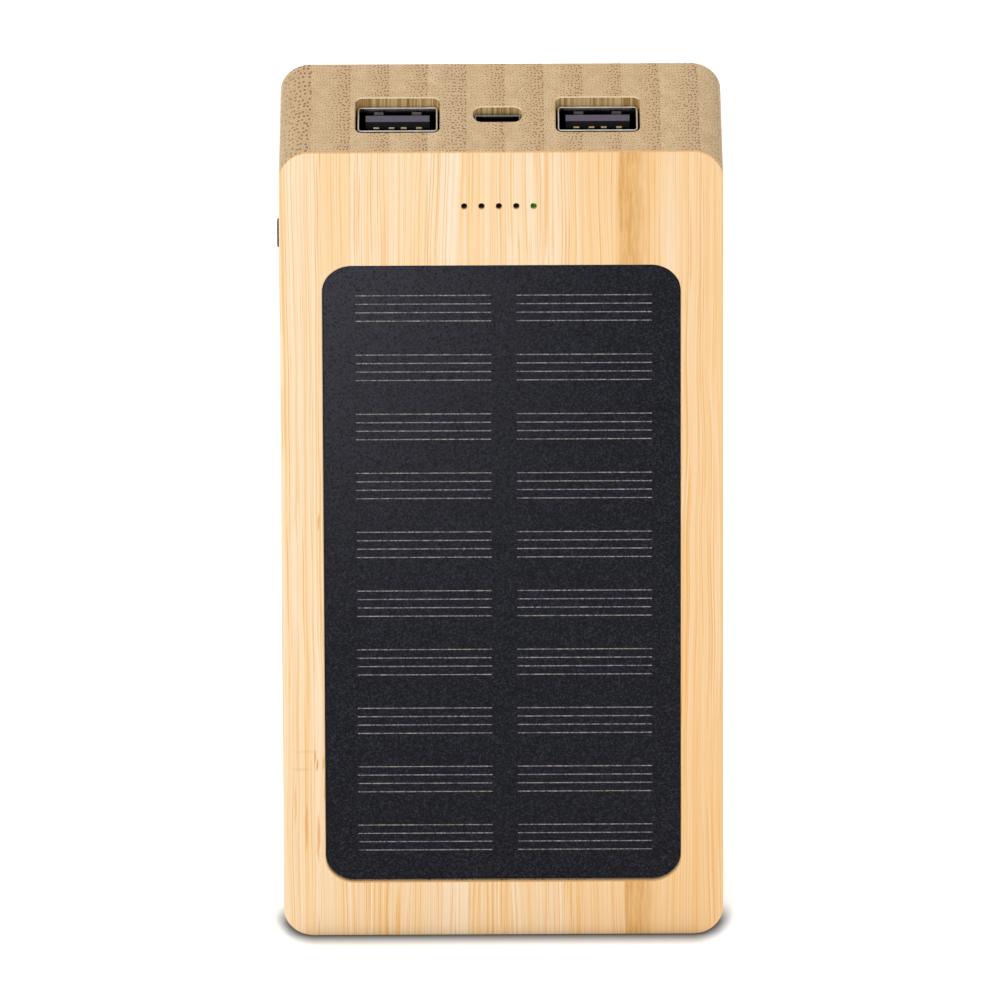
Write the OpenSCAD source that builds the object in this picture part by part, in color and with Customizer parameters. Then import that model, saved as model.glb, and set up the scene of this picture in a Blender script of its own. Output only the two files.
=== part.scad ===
// Solar power bank in a bamboo case, standing on its end with its sockets up.
// X runs across the front, Y runs from the front (solar) face to the back, and Z is up.
// The origin is the middle of the bottom end, half way through the thickness. Sizes are in millimetres.

/* [Case] */
// Width of the case
case_w = 72.5; // [70:0.5:90]
// Height of the case, from the bottom end to the end with the sockets
case_h = 146; // [136:1:180]
// Thickness of the case, from front to back
case_t = 21; // [20:0.5:28]
// Radius of the four corners of the outline
corner_r = 5; // [3:0.5:8]
// Thickness of the two side walls
side_wall = 4.5; // [4:0.1:6]
// Thickness of the bottom wall
bottom_wall = 6; // [4:0.5:10]
// Thickness of the end wall round the sockets
end_wall = 4; // [3:0.1:5]
// Thickness of the front wall
front_wall = 3.5; // [3:0.1:4.4]
// Radius of the corners of the bay inside
bay_r = 3; // [1:0.5:5]

/* [Back cover] */
// Thickness of the back cover
cover_t = 3; // [2.5:0.1:4]
// Case left bare round the back cover
cover_margin = 2.5; // [2:0.1:3.2]
// Gap of the seam round the back cover
cover_gap = 0.15; // [0.05:0.05:0.4]
// Radius of the cover's corners
cover_r = 3; // [1:0.5:5]
// Diameter of the cover screws
screw_d = 2; // [1.6:0.1:2.5]
// Length of the cover screws
screw_len = 8; // [5:0.5:12]
// Diameter of the cover screws' countersunk heads
screw_head_d = 3.8; // [3.2:0.1:4.5]
// Height of the cover screws' heads
screw_head_h = 1.2; // [0.8:0.1:1.6]
// Diameter of the corner posts that the screws turn into
post_d = 5.2; // [4:0.2:6]
// Clearance of a screw in its hole, on the diameter
screw_clear = 0.3; // [0.1:0.1:0.6]

/* [Solar panel] */
// Bamboo left bare on each side of the panel
panel_side = 6.95; // [5:0.05:10]
// Bamboo left bare below the panel
panel_below = 10.2; // [6:0.1:20]
// Bamboo left bare above the panel
panel_above = 21; // [18:0.1:30]
// Radius of the corners of the panel's pocket
panel_r = 4.9; // [2:0.1:8]
// Depth of the panel's pocket
pocket_depth = 2.2; // [2:0.1:2.4]
// Depth of the panel's face below the front of the case
panel_sunk = 0.35; // [0.1:0.05:0.5]
// Gap between the panel and the wall of its pocket
panel_gap = 0.15; // [0.05:0.05:0.4]
// Thickness of the clear film over the cells
film_t = 0.5; // [0.3:0.05:0.6]
// Thickness of a solar cell
cell_strip_t = 0.2; // [0.15:0.05:0.3]
// Thickness of the silver lines on the cells
finger_t = 0.05; // [0.02:0.01:0.1]
// Width of one silver line
finger_w = 0.2; // [0.1:0.05:0.4]
// Distance between the silver lines of one cell
finger_pitch = 1.57; // [1:0.01:1.8]
// Silver lines on each cell
fingers = 4; // [2:1:4]
// Rows of cells up the panel
cell_rows = 10; // [6:1:10]
// Height of one cell
cell_strip_h = 6.2; // [5:0.1:8]
// Distance from the panel's edge to the middle of its first row of cells
cell_edge = 8.03; // [5:0.01:12]
// Distance from the panel's side to the silver lines
line_edge = 5.1; // [3:0.1:8]
// Gap between the two columns of silver lines
column_gap = 4.2; // [2:0.1:8]
// Sideways offset of the two columns of cells
column_offset = 0.35; // [-1:0.05:1]
// Thickness of the adhesive sheet behind the panel
tape_t = 0.2; // [0.1:0.05:0.3]

/* [Sockets] */
// Distance between the middles of the two USB-A sockets
usb_pitch = 32.75; // [28:0.25:36]
// Sideways offset of the three sockets
ports_offset = -0.5; // [-1:0.1:1]
// Room beside a USB-A shell in its hole
usb_room_side = 0.35; // [0.15:0.05:0.8]
// Room in front of a USB-A shell in its hole
usb_room_front = 2.15; // [1.7:0.05:2.5]
// Room behind a USB-A shell in its hole
usb_room_back = 0.3; // [0.15:0.05:1]
// Radius of the corners of the socket holes
usb_hole_r = 1.2; // [0.5:0.1:2]
// Width of a USB-A shell
usb_w = 13.1; // [12.9:0.1:13.3]
// Height of a USB-A shell, across the case
usb_t = 5.7; // [5.6:0.05:5.8]
// Length of a USB-A shell
usb_len = 14; // [12:0.5:16]
// Depth of a USB-A shell's rim below the end of the case
usb_sunk = 1.5; // [0.5:0.1:2.5]
// Thickness of the shells' sheet steel
shell_t = 0.3; // [0.2:0.05:0.4]
// Width of a USB-A tongue
tongue_w = 10.5; // [10:0.1:11.1]
// Thickness of a USB-A tongue
tongue_t = 1.84; // [1.7:0.02:2]
// Gap behind a USB-A tongue
tongue_gap = 0.66; // [0.5:0.02:0.8]
// Depth of the tongue's tip below the shell's rim
tongue_sunk = 0.8; // [0.4:0.1:2]
// Room beside the micro-USB shell in its slot
micro_room_side = 0.25; // [0.15:0.05:0.6]
// Room in front of the micro-USB shell in its slot
micro_room_front = 0.12; // [0.1:0.02:0.3]
// Room behind the micro-USB shell in its slot
micro_room_back = 1.08; // [0.9:0.02:1.5]
// Radius of the corners of the micro-USB slot
micro_hole_r = 1.5; // [0.8:0.1:1.5]
// Height of the micro-USB shell above the board
micro_lift = 0.42; // [0.2:0.02:0.6]
// Width of the micro-USB shell
micro_w = 7.5; // [7.2:0.1:7.6]
// Height of the micro-USB shell, across the case
micro_t = 2.3; // [2.2:0.05:2.5]
// Length of the micro-USB shell
micro_len = 5.5; // [5:0.1:6]
// Depth of the micro-USB rim below the end of the case
micro_sunk = 0.7; // [0.3:0.1:1.5]

/* [Charge lights] */
// Number of charge lights
lights = 5; // [5:1:5]
// Distance between charge lights
light_pitch = 2.83; // [2.5:0.01:3.2]
// Sideways offset of the row of lights
light_offset = -0.35; // [-2:0.05:2]
// Distance from the socket end of the case down to the lights
light_down = 10; // [8:0.5:12]
// Diameter of the holes over the lights
light_hole_d = 1; // [0.8:0.1:1.6]

/* [Side button] */
// Distance from the socket end of the case down to the middle of the button
button_down = 21.3; // [20:0.1:22]
// Length of the button along the side
button_len = 4.8; // [4:0.1:5.4]
// Width of the button across the side
button_w = 2.4; // [2:0.1:3]
// Height that the button stands out of the side
button_out = 0.45; // [0.35:0.05:1]
// Clearance round the button in its slot
button_gap = 0.12; // [0.05:0.01:0.2]
// Thickness of the flange that keeps the button in
flange_t = 0.8; // [0.5:0.1:1]
// Width of the flange beyond the button
flange_rim = 0.6; // [0.4:0.1:0.9]
// Gap between the flange and the wall, and between plunger and switch
slide_gap = 0.1; // [0.05:0.01:0.2]
// Travel of the button
button_travel = 0.3; // [0.2:0.05:0.3]

/* [Main board] */
// Thickness of the main board
board_t = 1.6; // [1.2:0.1:1.6]
// Length of the main board down the case
board_len = 24.7; // [24:0.1:26]
// Distance from the front of the case to the main board
board_from_front = 5.25; // [5:0.05:5.5]
// Gap between the board's sides and the walls
board_side_gap = 2.25; // [1.5:0.05:3]
// Gap between the board and the end wall
board_end_gap = 0.3; // [0.2:0.1:0.6]
// Diameter of the board screws
board_screw_d = 1.7; // [1.4:0.1:2]
// Diameter of the bosses that the board rests on
boss_d = 4.6; // [4:0.1:5]
// Distance from the board's side to its screws
board_screw_in = 2.9; // [2.6:0.1:4]
// Height of the lower board screws above the board's lower edge
board_screw_low = 2.8; // [2.6:0.1:3]
// Distance between the lower and upper board screws
board_screw_pitch = 11.7; // [11:0.1:12]

/* [Battery] */
// Gap between the cells and the side walls
cell_side_gap = 1.75; // [0.5:0.05:3]
// Height of the foam block under the cells
end_pad_h = 6; // [5.5:0.5:10]
// Room left between the cells and the main board
wiring_room = 7; // [6.5:0.5:12]
// Thickness of the foam in front of the cells
front_pad_t = 1; // [0.5:0.1:2]
// Thickness of the foam behind the cells
back_pad_t = 1.5; // [0.5:0.1:3]
// Thickness of the tape between the two cells
cell_tape_t = 0.2; // [0.1:0.1:0.5]
// Height of the sealed edge at the top of a cell
seal_h = 4; // [3:0.5:6]
// Diameter of the battery leads
battery_lead_d = 1; // [0.8:0.1:1.2]
// Diameter of the panel leads
panel_lead_d = 0.9; // [0.7:0.1:1]
// Diameter of the hole that the panel leads pass through
lead_hole_d = 4; // [3.6:0.2:5]

/* [Hidden] */
$fn = 48;
eps = 1;  // how far a cut runs past a face

// Case: outer faces, then the bay that is milled into it from the back
front_y = -case_t / 2;
back_y = case_t / 2;
bay_w = case_w - 2 * side_wall;
bay_bottom = bottom_wall;
bay_top = case_h - end_wall;
bay_front = front_y + front_wall;
bay_back = back_y - cover_t;
cover_w = case_w - 2 * cover_margin;
cover_h = case_h - 2 * cover_margin;

// Corner posts sink this far into the walls beside them
post_bite = 0.3;
post_in = post_d / 2 - post_bite;
post_x = bay_w / 2 - post_in;
post_places = [for (sx = [-1, 1], z = [bay_bottom + post_in, bay_top - post_in]) [sx * post_x, z]];
screw_head_sunk = 0.1;
screw_recess = [2, 1.2, 0.45];  // one arm of the cross in a screw's head

// Solar panel, from its pocket's floor forwards
pocket_w = case_w - 2 * panel_side;
pocket_h = case_h - panel_below - panel_above;
pocket_floor = front_y + pocket_depth;
panel_w = pocket_w - 2 * panel_gap;
panel_h = pocket_h - 2 * panel_gap;
panel_bottom = panel_below + panel_gap;
tape_front = pocket_floor - tape_t;
film_front = front_y + panel_sunk;
film_back = film_front + film_t;
strip_front = film_back + finger_t;
strip_back = strip_front + cell_strip_t;
row_pitch = (pocket_h - 2 * cell_edge) / (cell_rows - 1);
line_len = (pocket_w - 2 * line_edge - column_gap) / 2;
strip_end = 0.4;  // how far a cell runs past its silver lines
tape_rim = 6;

// Main board
board_front = front_y + board_from_front;
board_back = board_front + board_t;
board_top = bay_top - board_end_gap;
board_bottom = board_top - board_len;
board_w = bay_w - 2 * board_side_gap;
post_notch = post_d / 2 + 0.5;
screw_low_z = board_bottom + board_screw_low;
board_screw_tip = pocket_floor + 0.5;
board_screw_x = board_w / 2 - board_screw_in;
board_screw_places = [for (sx = [-1, 1], z = [0, board_screw_pitch]) [sx * board_screw_x, screw_low_z + z]];

// Sockets, which stand on the back of the main board
usb_x = [ports_offset - usb_pitch / 2, ports_offset + usb_pitch / 2];
usb_rim = case_h - usb_sunk;
usb_base = usb_rim - usb_len;
usb_back = board_back + usb_t;
tongue_back = usb_back - shell_t - tongue_gap;
tongue_front = tongue_back - tongue_t;
tongue_tip = usb_rim - tongue_sunk;
block_len = 3;  // plastic block at the inner end of a USB-A socket
block_base = usb_base + 0.2;
fit_gap = 0.02;  // working clearance of moulded and punched pieces
contact_x = [-3.5, -1, 1, 3.5];
contact_w = 1.1;
contact_t = 0.3;
leg_len = 1.8;
leg_places = [3.5, 9.5];
micro_rim = case_h - micro_sunk;
micro_front = board_back + micro_lift;
micro_bevel = 0.75;

// Charge lights
light_z = case_h - light_down;
function light_x(i) = light_offset + (i - (lights - 1) / 2) * light_pitch;

// Side button and its switch
button_z = case_h - button_down;
switch_t = 3;
switch_w = 4;
switch_len = 4.5;
button_y = board_back + switch_t / 2;
bay_left = -bay_w / 2;
flange_left = bay_left + slide_gap;
flange_right = flange_left + flange_t;
switch_left = -board_w / 2 + 0.3;
plunger_len = 2.6;
plunger_w = 2.2;
plunger_t = 1.2;

// Heights of the larger and the smaller parts on the main board
parts_z = board_bottom + 9;
small_z = board_bottom + 2;

// Battery
cell_w = bay_w - 2 * cell_side_gap;
cell_bottom = bay_bottom + end_pad_h;
cell_top = board_bottom - wiring_room;
cell_body_h = cell_top - seal_h - cell_bottom;
cells_front = bay_front + front_pad_t;
cells_back = bay_back - back_pad_t;
one_cell_t = (cells_back - cells_front - cell_tape_t) / 2;
cells_mid = (cells_front + cells_back) / 2;
seal_t = 0.4;
tab_t = 0.15;
tab_w = 4;
tab_x = 10;
tab_rise = 3;
guard_w = 30;
guard_t = 1;
guard_h = 5;
guard_bottom = cell_top + 0.4;
guard_chip = [3, 0.9, 2.6];
guard_chip_x = [-1.6, 2.4];
pad_inset = 8;

// Leads
lead_bend = 1;
panel_lead_x = 1.1;
panel_lead_z = board_bottom - 2.4;
panel_lead_room = 0.425;  // between the panel leads and the board behind them
panel_lead_y = board_front - panel_lead_room - panel_lead_d / 2;
battery_lead_x = 6;
lead_end_z = board_bottom + 3.5;

// ---- Shared shapes ----

// Rectangle with round corners, centred on the first axis and standing on the second
module round_rect(w, h, r) {
    translate([-w / 2 + r, 0]) square([w - 2 * r, h]);
    translate([-w / 2, r]) square([w, h - 2 * r]);
    for (sx = [-1, 1], side = [r, h - r])
        translate([sx * (w / 2 - r), side]) circle(r);
}

// Upright plate with round corners, from y0 back to y1, standing at z0
module plate(w, h, r, y0, y1, z0) {
    translate([0, y1, z0]) rotate([90, 0, 0]) linear_extrude(y1 - y0) round_rect(w, h, r);
}

// Upright column with round corners, from y0 back through t, between z0 and z1
module column(w, t, r, y0, z0, z1) {
    translate([0, y0, z0]) linear_extrude(z1 - z0) round_rect(w, t, r);
}

// Box given by its two corners
module box(low, high) {
    translate(low) cube(high - low);
}

// Round bar along Y at the place [x, z]
module bar_y(place, d, y0, y1) {
    translate([place[0], y1, place[1]]) rotate([90, 0, 0]) cylinder(d = d, h = y1 - y0);
}

// Bar along X with round ends up and down, centred on y and z
module oblong_x(len, w, x0, x1, y, z) {
    for (s = [-1, 1])
        translate([x0, y, z + s * (len - w) / 2]) rotate([0, 90, 0]) cylinder(d = w, h = x1 - x0);
    box([x0, y - w / 2, z - (len - w) / 2], [x1, y + w / 2, z + (len - w) / 2]);
}

// Lead of round section along a route of points whose legs run along the axes
module lead(route, d) {
    last = len(route) - 1;
    for (i = [0:last - 1]) {
        leg = route[i + 1] - route[i];
        dir = leg / norm(leg);
        side = [dir[1], dir[2], dir[0]];
        up = cross(dir, side);
        from = route[i] + dir * (i == 0 ? 0 : lead_bend);
        length = norm(leg) - (i == 0 ? 0 : lead_bend) - (i == last - 1 ? 0 : lead_bend);
        multmatrix([
            [side[0], up[0], dir[0], from[0]],
            [side[1], up[1], dir[1], from[1]],
            [side[2], up[2], dir[2], from[2]]
        ]) cylinder(d = d, h = length);
        if (i < last - 1) {
            turn = route[i + 2] - route[i + 1];
            next = turn / norm(turn);
            axis = cross(dir, next);
            mid = route[i + 1] - dir * lead_bend + next * lead_bend;
            multmatrix([
                [-next[0], dir[0], axis[0], mid[0]],
                [-next[1], dir[1], axis[1], mid[1]],
                [-next[2], dir[2], axis[2], mid[2]]
            ]) rotate_extrude(angle = 90) translate([lead_bend, 0]) circle(d = d);
        }
    }
}

// ---- Case ----

// Hole through the end wall round a socket of width w and height t, whose front is at y0
module socket_cut(x, w, t, y0, side, front, back, r) {
    translate([x, 0, 0])
        column(w + 2 * side, t + front + back, r, y0 - front, bay_top - eps, case_h + eps);
}

module socket_cuts() {
    for (x = usb_x)
        socket_cut(x, usb_w, usb_t, board_back, usb_room_side, usb_room_front, usb_room_back, usb_hole_r);
    socket_cut(ports_offset, micro_w, micro_t, micro_front, micro_room_side, micro_room_front,
        micro_room_back, micro_hole_r);
}

module bamboo_body() {
    color("#efd3a3") difference() {
        union() {
            difference() {
                plate(case_w, case_h, corner_r, front_y, back_y, 0);
                plate(bay_w, bay_top - bay_bottom, bay_r, bay_front, back_y + eps, bay_bottom);
                plate(cover_w + 2 * cover_gap, cover_h + 2 * cover_gap, cover_r + cover_gap,
                    bay_back, back_y + eps, cover_margin - cover_gap);
                plate(pocket_w, pocket_h, panel_r, front_y - eps, pocket_floor, panel_below);
                socket_cuts();
            }
            for (p = post_places) bar_y(p, post_d, bay_front - post_bite, bay_back);
            for (p = board_screw_places) bar_y(p, boss_d, bay_front - post_bite, board_front);
        }
        for (p = post_places) bar_y(p, screw_d + fit_gap, back_y - screw_len - post_bite, back_y);
        for (p = board_screw_places)
            bar_y(p, board_screw_d + fit_gap, board_screw_tip - fit_gap, board_front + eps);
        for (i = [0:lights - 1]) bar_y([light_x(i), light_z], light_hole_d, front_y - eps, bay_front + eps);
        bar_y([0, panel_lead_z], lead_hole_d, pocket_floor - eps, bay_front + eps);
        oblong_x(button_len + 2 * button_gap, button_w + 2 * button_gap,
            -case_w / 2 - eps, bay_left + eps, button_y, button_z);
    }
}

module screw_cone(y0, clear) {
    translate([0, y0, 0]) rotate([-90, 0, 0])
        cylinder(d1 = screw_d + clear, d2 = screw_head_d + clear, h = screw_head_h);
}

module back_cover() {
    color("#ecc990") difference() {
        plate(cover_w, cover_h, cover_r, bay_back, back_y, cover_margin);
        for (p = post_places) {
            bar_y(p, screw_d + screw_clear, bay_back - eps, back_y + eps);
            translate([p[0], 0, p[1]]) screw_cone(back_y - screw_head_sunk - screw_head_h, screw_clear);
            bar_y(p, screw_head_d + screw_clear, back_y - screw_head_sunk, back_y + eps);
        }
    }
}

module cover_screws() {
    head_y = back_y - screw_head_sunk;
    color("#8d8f93") for (p = post_places) difference() {
        union() {
            bar_y(p, screw_d, back_y - screw_len, head_y - screw_head_h);
            translate([p[0], 0, p[1]]) screw_cone(head_y - screw_head_h, 0);
        }
        for (turn = [0, 90])
            translate([p[0], head_y, p[1]]) rotate([0, turn, 0]) cube(screw_recess, center = true);
    }
}

// ---- Solar panel ----

// Puts its children at the middle of each solar cell, at the height z of its row
module at_cells() {
    for (s = [-1, 1], row = [0:cell_rows - 1])
        translate([
            column_offset + s * (column_gap + line_len) / 2,
            0,
            panel_below + cell_edge + row * row_pitch
        ]) children();
}

module panel_tape() {
    color("#2a2a2c") difference() {
        plate(panel_w - 2, panel_h - 2, panel_r - 1, tape_front, pocket_floor, panel_bottom + 1);
        bar_y([0, panel_lead_z], lead_hole_d, tape_front - eps, pocket_floor + eps);
        box([-panel_w / 2 + tape_rim, tape_front - eps, panel_bottom + tape_rim],
            [panel_w / 2 - tape_rim, pocket_floor + eps, panel_lead_z - tape_rim]);
    }
}

module panel_board() {
    color("#14161c") plate(panel_w, panel_h, panel_r - panel_gap, strip_back, tape_front, panel_bottom);
}

module solar_cells() {
    color("#1b2033") at_cells()
        box([-line_len / 2 - strip_end, strip_front, -cell_strip_h / 2],
            [line_len / 2 + strip_end, strip_back, cell_strip_h / 2]);
}

module silver_lines() {
    color("#9a9ca3") at_cells() for (i = [0:fingers - 1]) {
        z = (i - (fingers - 1) / 2) * finger_pitch;
        box([-line_len / 2, film_back, z - finger_w / 2], [line_len / 2, strip_front, z + finger_w / 2]);
    }
}

module panel_film() {
    color("#26282f") plate(panel_w, panel_h, panel_r - panel_gap, film_front, film_back, panel_bottom);
}

module panel_lead(side) {
    x = side * panel_lead_x;
    lead([
        [x, tape_front, panel_lead_z],
        [x, panel_lead_y, panel_lead_z],
        [x, panel_lead_y, lead_end_z]
    ], panel_lead_d);
}

module panel_lead_red() {
    color("#b32222") panel_lead(-1);
}

module panel_lead_black() {
    color("#1a1a1a") panel_lead(1);
}

// ---- Main board ----

module main_board() {
    color("#1f5c36") difference() {
        plate(board_w, board_len, 0.8, board_front, board_back, board_bottom);
        for (p = post_places) bar_y(p, 2 * post_notch, board_front - eps, board_back + eps);
        for (p = board_screw_places)
            bar_y(p, board_screw_d + screw_clear, board_front - eps, board_back + eps);
        for (x = usb_x, s = [-1, 1], z = leg_places)
            translate([x + s * (usb_w - shell_t) / 2, board_back, usb_base + z])
                cube([shell_t + screw_clear, 2 * board_t + eps, leg_len + screw_clear], center = true);
    }
}

module board_screws() {
    head_d = 3.2;
    head_h = 1.2;
    color("#9a9ca0") for (p = board_screw_places) difference() {
        union() {
            bar_y(p, board_screw_d, board_screw_tip, board_back);
            bar_y(p, head_d, board_back, board_back + head_h);
        }
        for (turn = [0, 90])
            translate([p[0], board_back + head_h, p[1]]) rotate([0, turn, 0])
                cube(screw_recess, center = true);
    }
}

module solder_joints() {
    blob_d = 1.4;
    color("#b9bbbe") {
        for (s = [-1, 1])
            bar_y([s * panel_lead_x, lead_end_z - blob_d / 2], blob_d,
                panel_lead_y + panel_lead_d / 2 + fit_gap, board_front);
        for (s = [-1, 1])
            bar_y([s * battery_lead_x, lead_end_z + blob_d / 2 + fit_gap], blob_d,
                board_back, board_back + 1);
    }
}

// ---- Sockets ----

module usb_shell(x) {
    inner_w = usb_w - 2 * shell_t;
    inner_t = usb_t - 2 * shell_t;
    outer_r = 0.6;
    inner_r = 0.3;
    leaf_x = 3.1;
    leaf_w = 1.8;
    leaf_slit = 0.3;
    leaf_bottom = usb_rim - 6.1;
    leaf_top = usb_rim - 1.5;
    leg_rise = 0.5;
    leg_drop = 1.9;
    color("#c9ccd0") translate([x, 0, 0]) {
        difference() {
            column(usb_w, usb_t, outer_r, board_back, usb_base, usb_rim);
            column(inner_w, inner_t, inner_r, board_back + shell_t, usb_base - eps, usb_rim + eps);
            for (s = [-1, 1])
                box([s * leaf_x - leaf_w / 2 - leaf_slit, usb_back - 2 * shell_t, leaf_bottom + leaf_slit],
                    [s * leaf_x + leaf_w / 2 + leaf_slit, usb_back + eps, leaf_top + leaf_slit]);
        }
        for (s = [-1, 1])
            box([s * leaf_x - leaf_w / 2, usb_back - 2 * shell_t, leaf_bottom],
                [s * leaf_x + leaf_w / 2, usb_back - shell_t, leaf_top]);
        for (s = [-1, 1], z = leg_places)
            translate([s * (usb_w - shell_t) / 2, 0, usb_base + z])
                box([-shell_t / 2, board_back - leg_drop, -leg_len / 2],
                    [shell_t / 2, board_back + leg_rise, leg_len / 2]);
    }
}

module usb_tongue(x) {
    inner_w = usb_w - 2 * shell_t - 2 * fit_gap;
    inner_t = usb_t - 2 * shell_t - 2 * fit_gap;
    tip_slope = 0.5;
    color("#2b2b2d") translate([x, 0, 0]) {
        column(inner_w, inner_t, 0.25, board_back + shell_t + fit_gap, block_base, block_base + block_len);
        translate([-tongue_w / 2, 0, 0]) rotate([90, 0, 90]) linear_extrude(tongue_w) polygon([
            [tongue_front, usb_base + block_len],
            [tongue_back, usb_base + block_len],
            [tongue_back, tongue_tip],
            [tongue_front + tip_slope, tongue_tip],
            [tongue_front, tongue_tip - tip_slope]
        ]);
    }
}

module usb_contacts(x) {
    tail_w = 0.6;
    tail_t = 0.3;
    color("#c8b27c") translate([x, 0, 0]) for (cx = contact_x) {
        box([cx - contact_w / 2, tongue_front - contact_t, block_base + block_len + fit_gap],
            [cx + contact_w / 2, tongue_front, tongue_tip - 1]);
        box([cx - tail_w / 2, board_back, usb_base - fit_gap - tail_t],
            [cx + tail_w / 2, tongue_front, usb_base - fit_gap]);
    }
}

// Outline of the micro-USB shell, with its two front corners cut off
module micro_outline(inset) {
    half = micro_w / 2 - inset;
    y0 = micro_front + inset;
    y1 = micro_front + micro_t - inset;
    cut = micro_bevel;
    polygon([
        [-half + cut, y0],
        [half - cut, y0],
        [half, y0 + cut],
        [half, y1],
        [-half, y1],
        [-half, y0 + cut]
    ]);
}

module micro_usb_shell() {
    foot = 1;
    color("#c4c7cb") translate([ports_offset, 0, 0]) {
        translate([0, 0, micro_rim - micro_len]) linear_extrude(micro_len) difference() {
            micro_outline(0);
            micro_outline(0.25);
        }
        for (s = [-1, 1], z = [micro_rim - micro_len + 0.2, bay_top - foot - 0.4])
            box([s * (micro_w / 2 - 1.6) - foot / 2, board_back, z],
                [s * (micro_w / 2 - 1.6) + foot / 2, micro_front + 0.1, z + foot]);
    }
}

module micro_usb_tongue() {
    base = micro_rim - micro_len + 0.1;
    color("#222224") translate([ports_offset, 0, 0]) {
        translate([0, 0, base]) linear_extrude(1) micro_outline(0.25 + fit_gap);
        box([-2.3, micro_front + 1.05, base + 0.5], [2.3, micro_front + 1.65, micro_rim - 0.9]);
    }
}

module micro_usb_contacts() {
    pitch = 0.65;
    top = micro_front + 1.05;
    color("#c8b27c") translate([ports_offset, 0, 0]) for (i = [-2:2])
        box([i * pitch - 0.15, top - 0.12, micro_rim - micro_len + 1.1 + fit_gap],
            [i * pitch + 0.15, top, micro_rim - 1.3]);
}

// ---- Charge lights, button and switch ----

module led(i) {
    half_w = 0.4;
    base_h = 1.6;
    base_t = 0.3;
    lens_h = 1.1;
    lens_t = 0.45;
    lens_back = board_front - base_t;
    color(i == lights - 1 ? "#4fe06a" : "#d9e0d6") translate([light_x(i), 0, light_z]) {
        box([-half_w, lens_back, -base_h / 2], [half_w, board_front, base_h / 2]);
        box([-half_w, lens_back - lens_t, -lens_h / 2], [half_w, lens_back, lens_h / 2]);
    }
}

module plunger_bore(clear) {
    box([switch_left - eps, button_y - plunger_t / 2 - clear, button_z - plunger_w / 2 - clear],
        [flange_right + plunger_len + button_travel + slide_gap, button_y + plunger_t / 2 + clear,
            button_z + plunger_w / 2 + clear]);
}

module switch_body() {
    color("#b8babd") difference() {
        box([switch_left, board_back, button_z - switch_len / 2],
            [switch_left + switch_w, board_back + switch_t, button_z + switch_len / 2]);
        plunger_bore(slide_gap / 2);
    }
}

module switch_plunger() {
    color("#2f2f31")
        box([flange_right, button_y - plunger_t / 2, button_z - plunger_w / 2],
            [flange_right + plunger_len, button_y + plunger_t / 2, button_z + plunger_w / 2]);
}

module button_cap() {
    color("#3a2a20") {
        oblong_x(button_len, button_w, -case_w / 2 - button_out, flange_left + flange_t / 2,
            button_y, button_z);
        oblong_x(button_len + 2 * flange_rim, button_w + 2 * flange_rim, flange_left, flange_right,
            button_y, button_z);
    }
}

// ---- Parts on the main board ----

// Chip body on the back of the main board with legs down two sides
module chip(x, z, w, h, t, legs, pitch) {
    lift = 0.1;
    translate([x, board_back, z]) {
        box([-w / 2, lift, -h / 2], [w / 2, lift + t, h / 2]);
        for (s = [-1, 1], i = [0:legs - 1]) {
            across = (i - (legs - 1) / 2) * pitch;
            box([s * (w / 2 + 0.25) - 0.35, 0, across - 0.2],
                [s * (w / 2 + 0.25) + 0.35, 0.3, across + 0.2]);
        }
    }
}

module power_inductor() {
    color("#3b3b3e") difference() {
        translate([0, board_back + 2, parts_z]) cube([7.4, 4, 7.4], center = true);
        bar_y([0, parts_z], 6, board_back + 0.8, board_back + 3.2);
        bar_y([0, parts_z], 5, board_back + 3, board_back + 5);
    }
}

module inductor_coil() {
    color("#b06a34") difference() {
        bar_y([0, parts_z], 5.8, board_back + 0.9, board_back + 3.1);
        bar_y([0, parts_z], 3, board_back + 1.6, board_back + 5);
    }
}

module boost_chip() {
    color("#202022") chip(9.5, parts_z, 4, 4.9, 1.4, 4, 1.27);
}

module charge_chip() {
    color("#202022") chip(-9.5, parts_z, 4, 4.9, 1.4, 4, 1.27);
}

module port_chip() {
    color("#202022") chip(ports_offset, usb_base + 4, 3.9, 3.4, 1.1, 4, 0.8);
}

module capacitors() {
    big = [4.3, 2.8, 7.3];
    small = [1.6, 0.9, 3.2];
    color("#b98d4a") {
        for (s = [-1, 1])
            translate([s * 18, board_back + big[1] / 2, parts_z]) cube(big, center = true);
        for (i = [0:4])
            translate([-10 - 2.6 * i, board_back + small[1] / 2, small_z]) cube(small, center = true);
    }
}

module resistors() {
    size = [0.8, 0.45, 1.6];
    color("#17171a") for (i = [0:6])
        translate([9.5 + 1.9 * i, board_back + size[1] / 2, small_z]) cube(size, center = true);
}

// ---- Battery ----

// Middle of the front cell's thickness (side -1) or the back cell's (side 1)
function cell_mid(side) = cells_mid + side * (one_cell_t + cell_tape_t) / 2;

module pouch_cell(side) {
    mid = cell_mid(side);
    color("#c3c8cf") {
        plate(cell_w, cell_body_h, 2, mid - one_cell_t / 2, mid + one_cell_t / 2, cell_bottom);
        plate(cell_w - 4, seal_h + 1, 0.5, mid - seal_t / 2, mid + seal_t / 2, cell_top - seal_h - 1);
    }
}

module cell_tape() {
    color("#d9d2b0")
        plate(cell_w - 2 * pad_inset, cell_body_h - 2 * pad_inset, 1,
            cells_mid - cell_tape_t / 2, cells_mid + cell_tape_t / 2, cell_bottom + pad_inset);
}

module cell_tabs() {
    color("#b7b09c") for (side = [-1, 1], s = [-1, 1]) {
        y = cell_mid(side);
        near = side * guard_t / 2 + cells_mid;
        x0 = s * tab_x - tab_w / 2;
        x1 = s * tab_x + tab_w / 2;
        tab_top = cell_top + tab_rise;
        box([x0, y - tab_t / 2, cell_top], [x1, y + tab_t / 2, tab_top]);
        box([x0, min(y, near), tab_top - tab_t], [x1, max(y, near), tab_top]);
    }
}

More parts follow.
